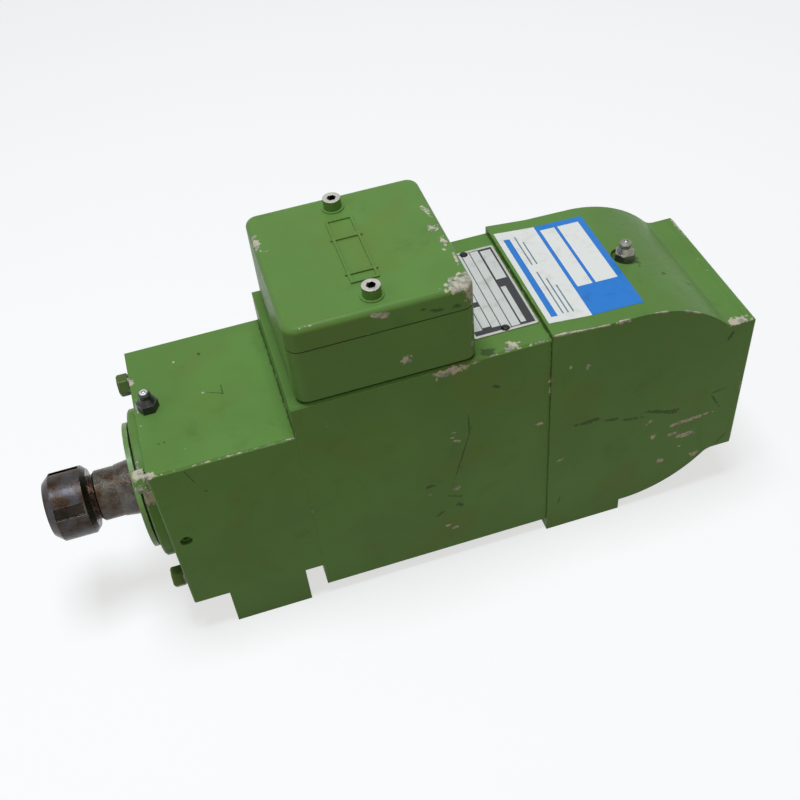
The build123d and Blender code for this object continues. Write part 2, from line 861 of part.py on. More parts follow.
# Rear housing: a shell that drops in an arc to the square lip, with a web, a bearing hub and a foot
shoulder_x = rear_seam + rear_shoulder
lip_z = rear_end_height / 2
arc_fall = stator_top - lip_z
arc_run = lip_front - shoulder_x
arc_radius = (arc_run ** 2 + arc_fall ** 2) / (2 * arc_fall)
arc_centre_z = stator_top - arc_radius
inner_lip_z = lip_z - wall
inner_arc_x = shoulder_x + sqrt((arc_radius - wall) ** 2 - (inner_lip_z - arc_centre_z) ** 2)
rear_foot_end = rear_seam + rear_foot_length
inner_y = rear_width / 2 - wall
web_front = rear_seam + web_setback
web_back = web_front + web_thickness
hub_radius = rear_hub_diameter / 2
preload_front = rear_bearing + rear_ring_width
hub_shoulder = preload_front + preload_height
hub_end = hub_shoulder + hub_shoulder_length
rear_nipple_floor = stator_top - rear_nipple_depth
foot_middle = (foot_start + foot_end) / 2
plate_screw_points = corners(rear_width / 2 - plate_screw_inset, plate_screw_z)
tie_points = corners(bolt_y, tie_z)
window_points = corners(bolt_y - web_window_setback, (hub_radius + cavity_z) / 2)

with BuildPart() as rear_housing:
    with BuildSketch(Plane.XZ):
        with BuildLine():
            Polyline(
                (lip_front, -lip_z),
                (plate_front, -lip_z),
                (plate_front, lip_z),
                (lip_front, lip_z),
            )
            TangentArc((shoulder_x, stator_top), (lip_front, lip_z), tangent=(1, 0))
            Polyline(
                (shoulder_x, stator_top),
                (rear_seam + rear_collar_length, stator_top + rear_collar_rise - rear_collar_fall),
                (rear_seam, stator_top + rear_collar_rise),
                (rear_seam, floor_level),
                (rear_foot_end, floor_level),
                (rear_foot_end, -stator_top),
                (shoulder_x, -stator_top),
            )
            TangentArc((shoulder_x, -stator_top), (lip_front, -lip_z), tangent=(1, 0))
        make_face()
        fillet(vertices().group_by(Axis.X)[-2], rear_lip_round)
    extrude(amount=rear_width / 2, both=True)
    with BuildSketch(Plane.XZ):
        with BuildLine():
            Polyline(
                (inner_arc_x, -inner_lip_z),
                (plate_front, -inner_lip_z),
                (plate_front, inner_lip_z),
                (inner_arc_x, inner_lip_z),
            )
            TangentArc((shoulder_x, cavity_z), (inner_arc_x, inner_lip_z), tangent=(1, 0))
            Polyline((shoulder_x, cavity_z), (rear_seam, cavity_z), (rear_seam, -cavity_z),
                     (shoulder_x, -cavity_z))
            TangentArc((shoulder_x, -cavity_z), (inner_arc_x, -inner_lip_z), tangent=(1, 0))
        make_face()
    extrude(amount=inner_y, both=True, mode=Mode.SUBTRACT)
    block(across(web_front), rear_width - wall, stator_height - wall, web_thickness)
    column(across(web_front), hub_radius, hub_end - web_front)
    column(across(rear_seam), tie_boss_radius + web_boss_wall, web_back - rear_seam, tie_points)
    column(across(plate_front), plate_boss_radius, -plate_boss_length, plate_screw_points)
    column(upright(rear_nipple_x, 0, hub_radius - grease_boss_root), grease_boss_diameter / 2,
           cavity_z - hub_radius + grease_boss_root + root)
    column(across(web_front), rear_outer / 2 + seat_gap, hub_shoulder - web_front, mode=Mode.SUBTRACT)
    column(across(hub_shoulder), hub_shoulder_diameter / 2, hub_shoulder_length, mode=Mode.SUBTRACT)
    block(across(web_front), web_window_width, web_window_length, web_thickness, window_points,
          Mode.SUBTRACT)
    column(across(rear_seam), tie_thread / 2 + screw_gap, web_back - rear_seam, tie_points, Mode.SUBTRACT)
    column(forward(plate_front), small_thread / 2 + seat_gap, plate_engagement + drill_run,
           plate_screw_points, Mode.SUBTRACT)
    column(upright(foot_middle + foot_hole_pitch, 0, floor_level), foot_hole_radius, rear_foot_hole_depth,
           [(0, -foot_hole_spacing / 2), (0, foot_hole_spacing / 2)], Mode.SUBTRACT)
    column(upright(rear_nipple_x, 0, rear_nipple_floor), rear_nipple_recess / 2, rear_nipple_depth,
           mode=Mode.SUBTRACT)
    column(downward(rear_nipple_x, 0, rear_nipple_floor), nipple_thread / 2 + seat_gap,
           nipple_thread_length + drill_run, mode=Mode.SUBTRACT)
    column(downward(rear_nipple_x, 0, rear_nipple_floor), grease_bore / 2,
           rear_nipple_floor - hub_shoulder_diameter / 2 + grease_run, mode=Mode.SUBTRACT)
save(rear_housing, "rear_housing")

with BuildPart() as rear_housing_screws:
    cap_screws(across(web_back), tie_thread, web_back - rear_seam + tie_engagement, tie_key, tie_points)
save(rear_housing_screws, "rear_housing_screws")

# Rear bearing, its preload washer and the shaft circlips
rear_pitch = (rear_bore + rear_outer) / 4
rear_land_in = rear_pitch - rear_land / 2
rear_land_out = rear_pitch + rear_land / 2
rear_middle = rear_bearing + rear_ring_width / 2

with BuildPart() as rear_outer_ring:
    bearing_ring(rear_bearing, rear_ring_width, rear_land_out, rear_outer / 2, rear_pitch, rear_ball)
save(rear_outer_ring, "rear_outer_ring")

with BuildPart() as rear_inner_ring:
    bearing_ring(rear_bearing, rear_ring_width, rear_bore / 2, rear_land_in, rear_pitch, rear_ball)
save(rear_inner_ring, "rear_inner_ring")

with BuildPart() as rear_cage:
    bearing_cage(rear_middle, rear_cage_width, rear_pitch, rear_ball, rear_balls)
save(rear_cage, "rear_cage")

with BuildPart() as rear_ball_set:
    with Locations(*ball_places(rear_middle, rear_pitch, rear_balls)):
        Sphere(rear_ball / 2)
save(rear_ball_set, "rear_balls")

with BuildPart() as preload_washer:
    turn([
        (preload_front, rear_land_out),
        (preload_front + preload_thickness, rear_land_out),
        (hub_shoulder, rear_outer / 2 - preload_gap),
        (hub_shoulder - preload_thickness, rear_outer / 2 - preload_gap),
    ])
save(preload_washer, "preload_washer")


def circlip(node, start, seat_radius):
    """An outside circlip in its shaft groove."""
    with BuildPart() as clip:
        ring(start, start + clip_width, seat_radius - clip_depth, seat_radius + clip_rim)
        block(across(start), clip_opening, 2 * seat_radius, clip_width, [(0, seat_radius)], Mode.SUBTRACT)
    save(clip, node)


circlip("rear_bearing_circlip", bearing_clip, rear_bore / 2)
circlip("fan_circlip", fan_clip, fan_seat / 2)

# Fan
fan_root = fan_seat / 2 + fan_hub_wall - fan_blade_root

with BuildPart() as fan:
    ring(fan_start, fan_clip, fan_seat / 2 + seat_gap, fan_root + fan_blade_root)
    ring(fan_start, fan_start + fan_plate, fan_root, fan_diameter / 2 - fan_plate_inset)
    with BuildSketch(across(fan_start)):
        with PolarLocations((fan_diameter / 2 + fan_root) / 2, fan_blades):
            Rectangle(fan_diameter / 2 - fan_root, blade_thickness)
    extrude(amount=fan_width - fan_blade_setback)
save(fan, "fan")

# Rear end plate: rings of air slots between four spokes
inlet_reach = min(rear_width, rear_end_height) / 2 - inlet_margin - inlet_slot - inlet_first
inlet_pitch = inlet_reach / (inlet_rings - 1)

with BuildPart() as rear_end_plate:
    block(across(plate_front), rear_width, rear_end_height, end_plate_thickness)
    chamfer(faces().sort_by(Axis.X)[-1].edges(), casting_edge)
    with BuildSketch(across(plate_front)):
        for k in reversed(range(inlet_rings)):
            Circle(inlet_first + k * inlet_pitch + inlet_slot)
            Circle(inlet_first + k * inlet_pitch, mode=Mode.SUBTRACT)
        for k in range(inlet_spokes // 2):
            Rectangle(rear_width, inlet_spoke_width, rotation=45 + 90 * k, mode=Mode.SUBTRACT)
    extrude(amount=end_plate_thickness, mode=Mode.SUBTRACT)
    with Locations(*[Location((tail, y, z), (0, 90, 0)) for y, z in plate_screw_points]):
        CounterSinkHole(small_thread / 2 + screw_gap, small_thread + screw_gap, end_plate_thickness,
                        sink_angle)
save(rear_end_plate, "rear_end_plate")

with BuildPart() as end_plate_screws:
    countersunk_screws(tail, 90, small_thread, end_plate_thickness + plate_engagement, plate_key,
                       plate_screw_points)
save(end_plate_screws, "end_plate_screws")

# Terminal box base with its gasket and screws
cable_x = box_front + cable_setback
cable_z = (base_bottom + box_floor + base_top) / 2
lid_screw_y = body_width / 2 - lid_screw_inset
lid_screw_points = [(lid_screw_x - box_middle, -lid_screw_y), (lid_screw_x - box_middle, lid_screw_y)]
floor_top = base_bottom + box_floor
earth_point = [(earth_x, base_screw_inset - body_width / 2)]


def rounded(x, z, length, width, corner, depth, mode=Mode.ADD):
    """An upright slab or pocket with rounded corners."""
    with BuildSketch(upright(x, 0, z)) as section:
        RectangleRounded(length, width, corner)
    extrude(section.sketch, amount=depth, mode=mode)


with BuildPart() as box_gasket:
    rounded(box_middle, stator_top, box_length - 2 * gasket_inset, body_width - 2 * gasket_inset,
            box_corner - gasket_inset, box_gasket_thickness)
    block(upright(wire_hole_x, 0, stator_top), wire_hole_length, wire_hole_width, box_gasket_thickness,
          mode=Mode.SUBTRACT)
    column(upright(box_middle, 0, stator_top), box_thread / 2 + screw_gap, box_gasket_thickness,
           base_screw_points, Mode.SUBTRACT)
save(box_gasket, "box_gasket")

with BuildPart() as terminal_box_base:
    rounded(box_middle, base_bottom, box_length, body_width, box_corner, box_base_height)
    rounded(box_middle, floor_top, box_length - 2 * box_wall, body_width - 2 * box_wall,
            box_corner - box_wall, box_base_height, Mode.SUBTRACT)
    column(upright(box_middle, 0, base_bottom), lid_boss_radius, box_base_height, lid_screw_points)
    column(upright(box_middle, 0, floor_top), earth_boss_radius, earth_boss, earth_point)
    cable_plane = Plane(origin=(cable_x, body_width / 2 - cable_boss_depth, cable_z), x_dir=(1, 0, 0),
                        z_dir=(0, 1, 0))
    column(cable_plane, cable_boss_diameter / 2, cable_boss_depth - box_wall / 2)
    column(cable_plane, cable_hole_diameter / 2, cable_boss_depth, mode=Mode.SUBTRACT)
    block(upright(wire_hole_x, 0, base_bottom), wire_hole_length, wire_hole_width, box_floor,
          mode=Mode.SUBTRACT)
    column(upright(box_middle, 0, base_bottom), box_thread / 2 + screw_gap, box_floor, base_screw_points,
           Mode.SUBTRACT)
    column(downward(box_middle, 0, base_top), box_thread / 2 + seat_gap, lid_engagement + drill_run,
           lid_screw_points, Mode.SUBTRACT)
    column(upright(box_middle, 0, base_bottom + floor_skin), box_thread / 2 + seat_gap,
           box_floor + earth_boss, earth_point, Mode.SUBTRACT)
    column(upright(box_middle, 0, base_bottom + floor_skin), small_thread / 2 + seat_gap, box_floor,
           [(-board_screw_x, 0), (board_screw_x, 0)], Mode.SUBTRACT)
save(terminal_box_base, "terminal_box_base")

with BuildPart() as box_base_screws:
    cap_screws(upright(box_middle, 0, floor_top), box_thread,
               box_floor + box_gasket_thickness + base_engagement, box_key, base_screw_points)
save(box_base_screws, "box_base_screws")

with BuildPart() as earth_screw:
    cap_screws(upright(box_middle, 0, floor_top + earth_boss), box_thread, earth_engagement, box_key,
               earth_point)
save(earth_screw, "earth_screw")

# Terminal board with studs, links and nuts
board_top = floor_top + board_height
stud_points = [(kx * stud_pitch, ky * stud_row / 2) for kx in (-1, 0, 1) for ky in (-1, 1)]
link_top = board_top + link_thickness

with BuildPart() as terminal_board:
    rounded(box_middle, floor_top, board_length, board_width, board_corner, board_height)
    column(downward(box_middle, 0, board_top), stud_thread / 2 + seat_gap, stud_depth, stud_points,
           Mode.SUBTRACT)
    column(upright(box_middle, 0, floor_top), small_thread / 2 + screw_gap, board_height,
           [(-board_screw_x, 0), (board_screw_x, 0)], Mode.SUBTRACT)
save(terminal_board, "terminal_board")

with BuildPart() as terminal_board_screws:
    cap_screws(upright(box_middle, 0, board_top), small_thread, board_height + board_engagement, board_key,
               [(-board_screw_x, 0), (board_screw_x, 0)])
save(terminal_board_screws, "terminal_board_screws")

with BuildPart() as terminal_studs:
    column(upright(box_middle, 0, board_top - stud_depth), stud_thread / 2, stud_depth + stud_height,
           stud_points)
save(terminal_studs, "terminal_studs")

with BuildPart() as terminal_links:
    for k in (-1, 0, 1):
        with BuildSketch(upright(box_middle + k * stud_pitch, 0, board_top)):
            SlotOverall(stud_row + link_width, link_width, rotation=90)
            with Locations((0, -stud_row / 2), (0, stud_row / 2)):
                Circle(stud_thread / 2 + screw_gap, mode=Mode.SUBTRACT)
    extrude(amount=link_thickness)
save(terminal_links, "terminal_links")

with BuildPart() as terminal_nuts:
    hexagon(upright(box_middle, 0, link_top), terminal_nut_flats, terminal_nut_height, stud_points)
    column(upright(box_middle, 0, link_top), stud_thread / 2 + seat_gap, terminal_nut_height, stud_points,
           Mode.SUBTRACT)
save(terminal_nuts, "terminal_nuts")

# Lid of the terminal box, with two screw bosses and a blank framed panel
with BuildPart() as lid_gasket:
    rounded(box_middle, base_top, box_length - 2 * lid_gasket_inset, body_width - 2 * lid_gasket_inset,
            box_corner - lid_gasket_inset, lid_gasket_thickness)
    rounded(box_middle, base_top, box_length - 2 * box_wall, body_width - 2 * box_wall,
            box_corner - box_wall, lid_gasket_thickness, Mode.SUBTRACT)
    column(upright(box_middle, 0, base_top), lid_boss_radius, lid_gasket_thickness, lid_screw_points)
    column(upright(box_middle, 0, base_top), box_thread / 2 + screw_gap, lid_gasket_thickness,
           lid_screw_points, Mode.SUBTRACT)
save(lid_gasket, "lid_gasket")

with BuildPart() as terminal_box_lid:
    rounded(box_middle, lid_bottom, box_length, body_width, box_corner, lid_height)
    fillet(faces().sort_by(Axis.Z)[-1].edges(), lid_edge)
    rounded(box_middle, lid_bottom, box_length - 2 * box_wall, body_width - 2 * box_wall,
            box_corner - box_wall, lid_height - lid_roof, Mode.SUBTRACT)
    column(upright(box_middle, 0, lid_bottom), lid_boss_radius, lid_height - lid_roof, lid_screw_points)
    column(upright(box_middle, 0, lid_top), lid_boss_diameter / 2, lid_boss_height, lid_screw_points)
    with BuildSketch(upright(lid_screw_x, 0, lid_top)):
        Rectangle(pad_width, pad_length)
        Rectangle(pad_width - 2 * pad_line, pad_length - 2 * pad_line, mode=Mode.SUBTRACT)
        with Locations((0, pad_length / 2 - pad_bar_far), (0, pad_length / 2 - pad_bar_near)):
            Rectangle(pad_width + 2 * pad_bar_overhang, pad_line)
    extrude(amount=pad_height)
    column(upright(box_middle, 0, lid_bottom), box_thread / 2 + screw_gap, lid_height + lid_boss_height,
           lid_screw_points, Mode.SUBTRACT)
save(terminal_box_lid, "terminal_box_lid")

with BuildPart() as lid_screws:
    cap_screws(upright(box_middle, 0, lid_top + lid_boss_height), box_thread,
               lid_height + lid_boss_height + lid_gasket_thickness + lid_engagement, box_key,
               lid_screw_points)
save(lid_screws, "lid_screws")

# Nameplate with its rivets, left blank
with BuildPart() as nameplate:
    rounded(plate_x, stator_top, plate_length, plate_width, plate_corner, plate_thickness)
    column(upright(plate_x, 0, stator_top), rivet_shank / 2 + seat_gap, plate_thickness, rivet_points,
           Mode.SUBTRACT)
save(nameplate, "nameplate")

with BuildPart() as nameplate_rivets:
    for x, y in rivet_points:
        turn_upright(plate_x, y, [
            (0, stator_top - rivet_depth),
            (rivet_shank / 2, stator_top - rivet_depth),
            (rivet_shank / 2, stator_top + plate_thickness),
            (rivet_head / 2, stator_top + plate_thickness),
            (rivet_crown / 2, stator_top + plate_thickness + rivet_shoulder),
            (0, stator_top + plate_thickness + rivet_dome),
        ])
save(nameplate_rivets, "nameplate_rivets")


def grease_nipple(prefix, x, base):
    """A nipple standing on a base height, with its check ball and the spring under the ball."""
    tip = base + nipple_height
    hex_top = base + nipple_hex_height
    chamber_floor = hex_top - nipple_floor
    seat = tip - nipple_lip
    with BuildPart() as body:
        hexagon(upright(x, 0, base), nipple_hex, nipple_hex_height)
        turn_upright(x, 0, [
            (0, base - nipple_thread_length),
            (nipple_thread / 2, base - nipple_thread_length),
            (nipple_thread / 2, base + root),
            (0, base + root),
        ])
        turn_upright(x, 0, [
            (0, hex_top),
            (nipple_foot / 2, hex_top),
            (nipple_neck / 2, tip - nipple_neck_drop),
            (nipple_head / 2, tip - nipple_head_drop),
            (nipple_head / 2, tip - nipple_cone_drop),
            (nipple_mouth / 2 + nipple_lip_width, tip),
            (0, tip),
        ])
        turn_upright(x, 0, [
            (0, base - nipple_thread_length),
            (nipple_passage / 2, base - nipple_thread_length),
            (nipple_passage / 2, chamber_floor),
            (nipple_chamber / 2, chamber_floor),
            (nipple_chamber / 2, seat),
            (nipple_mouth / 2, seat),
            (nipple_mouth / 2, tip),
            (0, tip),
        ], Mode.SUBTRACT)
    save(body, f"{prefix}_grease_nipple")
    ball_z = seat - sqrt(nipple_ball ** 2 - nipple_mouth ** 2) / 2 - ball_gap
    with BuildPart() as ball:
        with Locations((x, 0, ball_z)):
            Sphere(nipple_ball / 2)
    save(ball, f"{prefix}_nipple_ball")
    foot = chamber_floor + spring_wire / 2
    head = ball_z - nipple_ball / 2 - spring_wire / 2
    with BuildPart() as spring:
        with BuildLine() as coil:
            Helix(spring_pitch, head - foot, spring_diameter / 2, center=(x, 0, foot))
        with BuildSketch(Plane(origin=coil.line @ 0, z_dir=coil.line % 0)):
            Circle(spring_wire / 2)
        sweep()
    save(spring, f"{prefix}_nipple_spring")


grease_nipple("front", nipple_x, front_height / 2)
grease_nipple("rear", rear_nipple_x, rear_nipple_floor)

# Collet: slit from both ends, with a nose cone, a pulling groove and a long taper
cone_rise = tan(radians(collet_cone))
cone_end_radius = collet_front_diameter / 2 + collet_cone_length * cone_rise
groove_floor = cone_end_radius - collet_groove_depth
groove_end = collet_cone_length + collet_groove_length
slit_middle = (shank_diameter / 2 + collet_radius) / 2

with BuildPart() as collet:
    turn([
        (0, shank_diameter / 2),
        (0, collet_front_diameter / 2),
        (collet_cone_length, cone_end_radius),
        (collet_cone_length, groove_floor),
        (groove_end, groove_floor),
        (groove_end, collet_radius),
        (taper_start, collet_radius),
        (collet_length, collet_radius - (collet_length - taper_start) * taper_fall),
        (collet_length, shank_diameter / 2),
    ])
    for start, turn_angle in ((0.0, 0.0), (slit_web + taper_start, 180 / collet_slits)):
        reach = collet_length - slit_web if start == 0 else collet_length - start
        with BuildSketch(across(start)):
            with PolarLocations(slit_middle, collet_slits, start_angle=turn_angle):
                Rectangle(collet_radius - shank_diameter / 2 + 2 * root, slit_width)
        extrude(amount=reach, mode=Mode.SUBTRACT)
save(collet, "collet")

# Collet nut with its extractor ring
nut_radius = nut_diameter / 2
cone_gap = running_gap / cos(radians(collet_cone))
extractor_x = collet_cone_length + (collet_groove_length - extractor_thickness) / 2
extractor_end = extractor_x + extractor_thickness
nut_bore = nose_thread / 2 + running_gap
front_line = nut_recess + nut_front_chamfer

with BuildPart() as collet_nut:
    turn([
        (nut_recess, collet_front_diameter / 2 + nut_recess * cone_rise + cone_gap),
        (collet_cone_length, cone_end_radius + cone_gap),
        (extractor_x, cone_end_radius + cone_gap),
        (extractor_x, extractor_diameter / 2 + seat_gap),
        (extractor_end, extractor_diameter / 2 + seat_gap),
        (extractor_end, nut_bore),
        (nut_end, nut_bore),
        (nut_end, nut_radius - nut_rear_chamfer),
        (nut_end - nut_rear_chamfer, nut_radius),
        (front_line, nut_radius),
        (nut_recess, nut_front_diameter / 2),
    ])
    with BuildSketch(across(front_line)):
        with PolarLocations(nut_radius, nut_slots, start_angle=nut_slot_angle):
            Rectangle(2 * nut_slot_depth, nut_slot_width)
    extrude(amount=nut_end - nut_rear_chamfer - nut_slot_land - front_line, mode=Mode.SUBTRACT)
save(collet_nut, "collet_nut")

with BuildPart() as extractor_ring:
    ring(extractor_x, extractor_end, groove_floor + extractor_bore_gap, extractor_diameter / 2)
save(extractor_ring, "extractor_ring")
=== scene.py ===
import json
from functools import partial
from math import radians, sqrt

import bmesh
import bpy
from mathutils import Matrix, Vector


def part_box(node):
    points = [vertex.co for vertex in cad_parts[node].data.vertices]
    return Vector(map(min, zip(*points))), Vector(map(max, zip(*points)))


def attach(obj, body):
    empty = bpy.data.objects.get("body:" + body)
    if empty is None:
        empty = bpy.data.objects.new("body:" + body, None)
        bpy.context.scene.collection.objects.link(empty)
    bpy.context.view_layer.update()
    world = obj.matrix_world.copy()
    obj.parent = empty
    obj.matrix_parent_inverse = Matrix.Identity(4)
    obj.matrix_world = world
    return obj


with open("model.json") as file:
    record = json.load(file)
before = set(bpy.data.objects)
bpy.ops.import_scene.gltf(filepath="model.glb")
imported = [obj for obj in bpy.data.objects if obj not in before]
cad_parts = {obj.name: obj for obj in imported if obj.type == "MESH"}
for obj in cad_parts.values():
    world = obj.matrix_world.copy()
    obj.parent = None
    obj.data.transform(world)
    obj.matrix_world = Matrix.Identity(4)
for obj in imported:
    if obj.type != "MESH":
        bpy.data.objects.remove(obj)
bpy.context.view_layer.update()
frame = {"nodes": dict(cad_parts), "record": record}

# A worn green motor spindle on a white table. Metres, in the CAD's frame: the origin is on the
# spindle axis at the mouth of the collet, +X runs to the rear end and +Z is up.

mm = 0.001
nodes = frame["nodes"]


def corners_mm(node):
    """The lowest and highest corners of a CAD piece in millimetres."""
    return tuple(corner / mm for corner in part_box(node))


lid_low, lid_high = corners_mm("terminal_box_lid")
stator_low, stator_high = corners_mm("stator_housing")
rear_low, rear_high = corners_mm("rear_housing")
front_low, front_high = corners_mm("front_bearing_housing")
plate_low, plate_high = corners_mm("nameplate")
base_top = corners_mm("terminal_box_base")[1].z
nipple_top = corners_mm("front_grease_nipple")[1].z
screw_top = corners_mm("lid_screws")[1].z
rear_end = corners_mm("rear_end_plate")[1].x

# Camera, worked out from the corners of the housings in the photograph
image_width = 800
focal_pixels = 1058.26
sensor_width = 36.0
camera_place = Vector((102.63, -374.95, 404.16)) * mm
camera_right = Vector((0.95351, -0.29118, -0.07772))
camera_down = Vector((-0.26169, -0.67203, -0.69274))
camera_forward = Vector((0.14948, 0.68087, -0.71699))

lens = bpy.data.cameras.new("camera")
lens.sensor_width = sensor_width
lens.lens = focal_pixels * sensor_width / image_width
lens.clip_start = 0.01
camera = bpy.data.objects.new("camera", lens)
aim = Matrix((camera_right, -camera_down, -camera_forward)).transposed()
camera.matrix_world = Matrix.Translation(camera_place) @ aim.to_4x4()
bpy.context.scene.collection.objects.link(camera)
bpy.context.scene.camera = camera
bpy.context.scene.view_settings.view_transform = "Standard"


def colour(code):
    """A linear colour from an sRGB hex value."""
    parts = [int(code[k:k + 2], 16) / 255 for k in (1, 3, 5)]
    return tuple(c / 12.92 if c <= 0.04045 else ((c + 0.055) / 1.055) ** 2.4 for c in parts) + (1.0,)


def add(tree, kind, inputs, output=0, **settings):
    """Adds a shader node with its values, links and settings, and gives one of its outputs."""
    node = tree.nodes.new("ShaderNode" + kind)
    for name, value in settings.items():
        setattr(node, name, value)
    for name, value in inputs.items():
        if isinstance(value, bpy.types.NodeSocket):
            tree.links.new(value, node.inputs[name])
        else:
            node.inputs[name].default_value = value
    return node.outputs[output] if node.outputs else node


def patches(tree, place, size, low, high, detail=3.0, stretch=(1, 1, 1), seed=0.0, span=(0.0, 1.0)):
    """Uneven patches about size millimetres across, from the span's first value to its second."""
    moved = add(tree, "Mapping",
                {"Vector": place, "Location": (seed, seed * 1.7, seed * 0.6), "Scale": stretch})
    noise = add(tree, "TexNoise",
                {"Vector": moved, "Scale": 1 / size, "Detail": detail, "Roughness": 0.6})
    return add(tree, "MapRange", {"Value": noise, "From Min": low, "From Max": high, "To Min": span[0],
                                  "To Max": span[1]}, interpolation_type="SMOOTHSTEP")


def rubbed_edges(tree, radius, low=0.02, high=0.2):
    """1 along edges, within about radius millimetres of them, and 0 on flat stretches."""
    soft = add(tree, "Bevel", {"Radius": radius * mm}, samples=6)
    sharp = add(tree, "NewGeometry", {}, "Normal")
    same = add(tree, "VectorMath", {0: soft, 1: sharp}, "Value", operation="DOT_PRODUCT")
    return add(tree, "MapRange", {"Value": same, "From Min": 1 - low, "From Max": 1 - high},
               interpolation_type="SMOOTHSTEP")


def spots(tree, place, marks, torn):
    """1 inside marks and 0 outside, with their outlines moved by torn."""
    nearest = 9.0
    for centre, half, turned in marks:
        fitted = add(tree, "Mapping",
                     {"Vector": place, "Location": centre, "Scale": half,
                      "Rotation": tuple(radians(angle) for angle in turned)}, vector_type="TEXTURE")
        distance = add(tree, "VectorMath", {0: fitted}, "Value", operation="LENGTH")
        nearest = add(tree, "Math", {0: nearest, 1: distance}, operation="MINIMUM")
    reach = add(tree, "Math", {0: nearest, 1: torn}, operation="ADD")
    return add(tree, "MapRange", {"Value": reach, "From Min": 1.05, "From Max": 0.95})


def coats(tree, under, *layers):
    """A colour with others laid over it, each where its mask is 1."""
    for mask, over in layers:
        under = add(tree, "Mix", {0: mask, 6: under, 7: over}, 2, data_type="RGBA")
    return under


def any_of(tree, masks):
    """1 wherever one of several masks is 1."""
    whole = masks[0]
    for mask in masks[1:]:
        whole = add(tree, "Math", {0: whole, 1: mask}, operation="MAXIMUM")
    return whole


# Faces and seams that carry chips and marks, in millimetres
near_side, rear_side = stator_low.y, rear_low.y
front_top, stator_top, lid_top = front_high.z, stator_high.z, lid_high.z
front_seam, rear_seam = front_high.x, rear_low.x
top_depth, side_depth = 0.5, 1.0


def top_marks(height, *marks):
    """Marks on a top at one height: X and Y, half sizes along them and a turn about Z."""
    return [((x, y, height), (half_x, half_y, top_depth), (0, 0, turn))
            for x, y, half_x, half_y, turn in marks]


def side_marks(side, *marks):
    """Marks on a near side at one Y: X and Z, half sizes along them and a turn about Y."""
    return [((x, side, z), (half_x, side_depth, half_z), (0, turn, 0))
            for x, z, half_x, half_z, turn in marks]


# Chips through the enamel and dark marks on it, where the photograph shows them: centres and half
# sizes in millimetres, turns in degrees. Those on an edge or a corner give all three of each.
# Some long thin lines among them, along near-top edges, are partly wear and partly painted highlight; the
# dark marks along seams and in the rear nipple's recess are painted shade.
flat = (0, 0, 0)
front_chips_and_highlights = top_marks(
    front_top,
    (56.8, 20.3, 1.6, 2.4, 0), (57.6, 2, 0.9, 3.8, 0), (57.8, -10.5, 0.5, 0.5, 0),
    (78.9, 27.4, 0.6, 0.6, 0), (89.3, 0.6, 0.7, 0.6, 0))
front_chips_and_highlights += [
    # Painted highlight, partly wear: a thin primer-coloured line along the front block's near-top edge.
    ((90.0, -43.8, 49.8), (64.0, 0.5, 0.5), flat),
    ((57.2, -43.0, 49.4), (2.8, 2.4, 1.2), flat),
]
front_marks_and_shade = top_marks(
    front_top,
    (94.5, -1.5, 4.6, 0.3, -26.3), (98.3, -0.8, 0.3, 2.8, 0), (92, 28.4, 0.8, 0.9, 0),
    (64.3, -25.1, 0.6, 0.4, 0), (66.9, -25, 0.4, 0.4, 0))
front_marks_and_shade += side_marks(
    near_side,
    (73.9, 44, 0.35, 5, -18.4), (79.2, 31.2, 0.9, 0.45, 20))
front_marks_and_shade += [
    # Painted shade: a dark line along the seam between the front block and the stator housing.
    ((front_seam, 0.0, front_top), (0.7, 80.0, 0.7), flat),
]
stator_chips_and_highlights = side_marks(
    near_side,
    (200.5, 65.2, 7.6, 2.3, 0), (193.4, 62, 0.8, 0.8, 0), (212.1, 66.2, 2.2, 0.5, 0),
    (199.6, 23.4, 1.3, 0.4, 0), (198.9, 20, 1, 0.4, 0), (202, 16.6, 2.2, 0.7, 20),
    (244.4, 12.3, 2.4, 0.8, 10), (199.9, -18.8, 1.8, 1.2, 0), (194.2, -47.5, 1.7, 0.8, 0),
    (198, -51, 1.7, 0.8, 0), (185.3, -18.2, 0.7, 0.6, 0), (249.2, 40.5, 0.7, 1.1, 0),
    (249.6, 35, 0.5, 3, 0))
stator_chips_and_highlights += [
    # Painted highlight, partly wear: thin primer-coloured lines along the stator housing's near-top edge.
    ((232.0, -43.8, 67.8), (26.0, 0.55, 0.55), flat),
    ((244.0, -43.6, 67.9), (4.0, 0.8, 0.6), flat),
    ((231.5, -41.2, stator_top), (3.4, 2.6, 0.8), flat),
]
stator_marks_and_shade = side_marks(
    near_side,
    (207.8, 26, 0.42, 6.4, 0), (203, 2.3, 0.42, 19, 15.8), (199.1, -25, 3.6, 0.6, 24.4),
    (222.5, 47, 2, 1, 30), (186, -12, 3, 1, 0), (201, -33, 2.6, 1.2, 30),
    (190, -36, 2.6, 0.7, -30))
stator_marks_and_shade += [
    ((219.2, -41.2, stator_top), (3.4, 2.4, 0.8), flat),
    # Painted shade: dark lines along the seams with the rear housing and the front block (these three).
    ((rear_seam, 0.0, stator_top), (0.8, 80.0, 0.8), flat),
    ((rear_seam, near_side, 42.0), (0.5, 1.4, 28.0), flat),
    ((front_seam, 0.0, front_top), (0.8, 80.0, 0.8), flat),
]
rear_chips_and_highlights = side_marks(
    rear_side,
    (259.7, 46.7, 1, 1.7, 0), (268.6, 44.2, 0.9, 1.6, 0), (329, -16.7, 10.4, 1.15, -5.3),
    (305.8, -10, 1.9, 1.1, -35), (309.4, -22.4, 2.1, 1.4, -30), (320.6, -24.5, 2.8, 1.1, -5),
    (328.9, -27.8, 5, 1.7, 0), (335.8, -46.5, 2.8, 1.8, 0), (315.8, -44.1, 2.1, 1.8, 0),
    (326.2, -36.4, 0.7, 0.6, 0), (256.3, -19.1, 2.2, 0.7, -20))
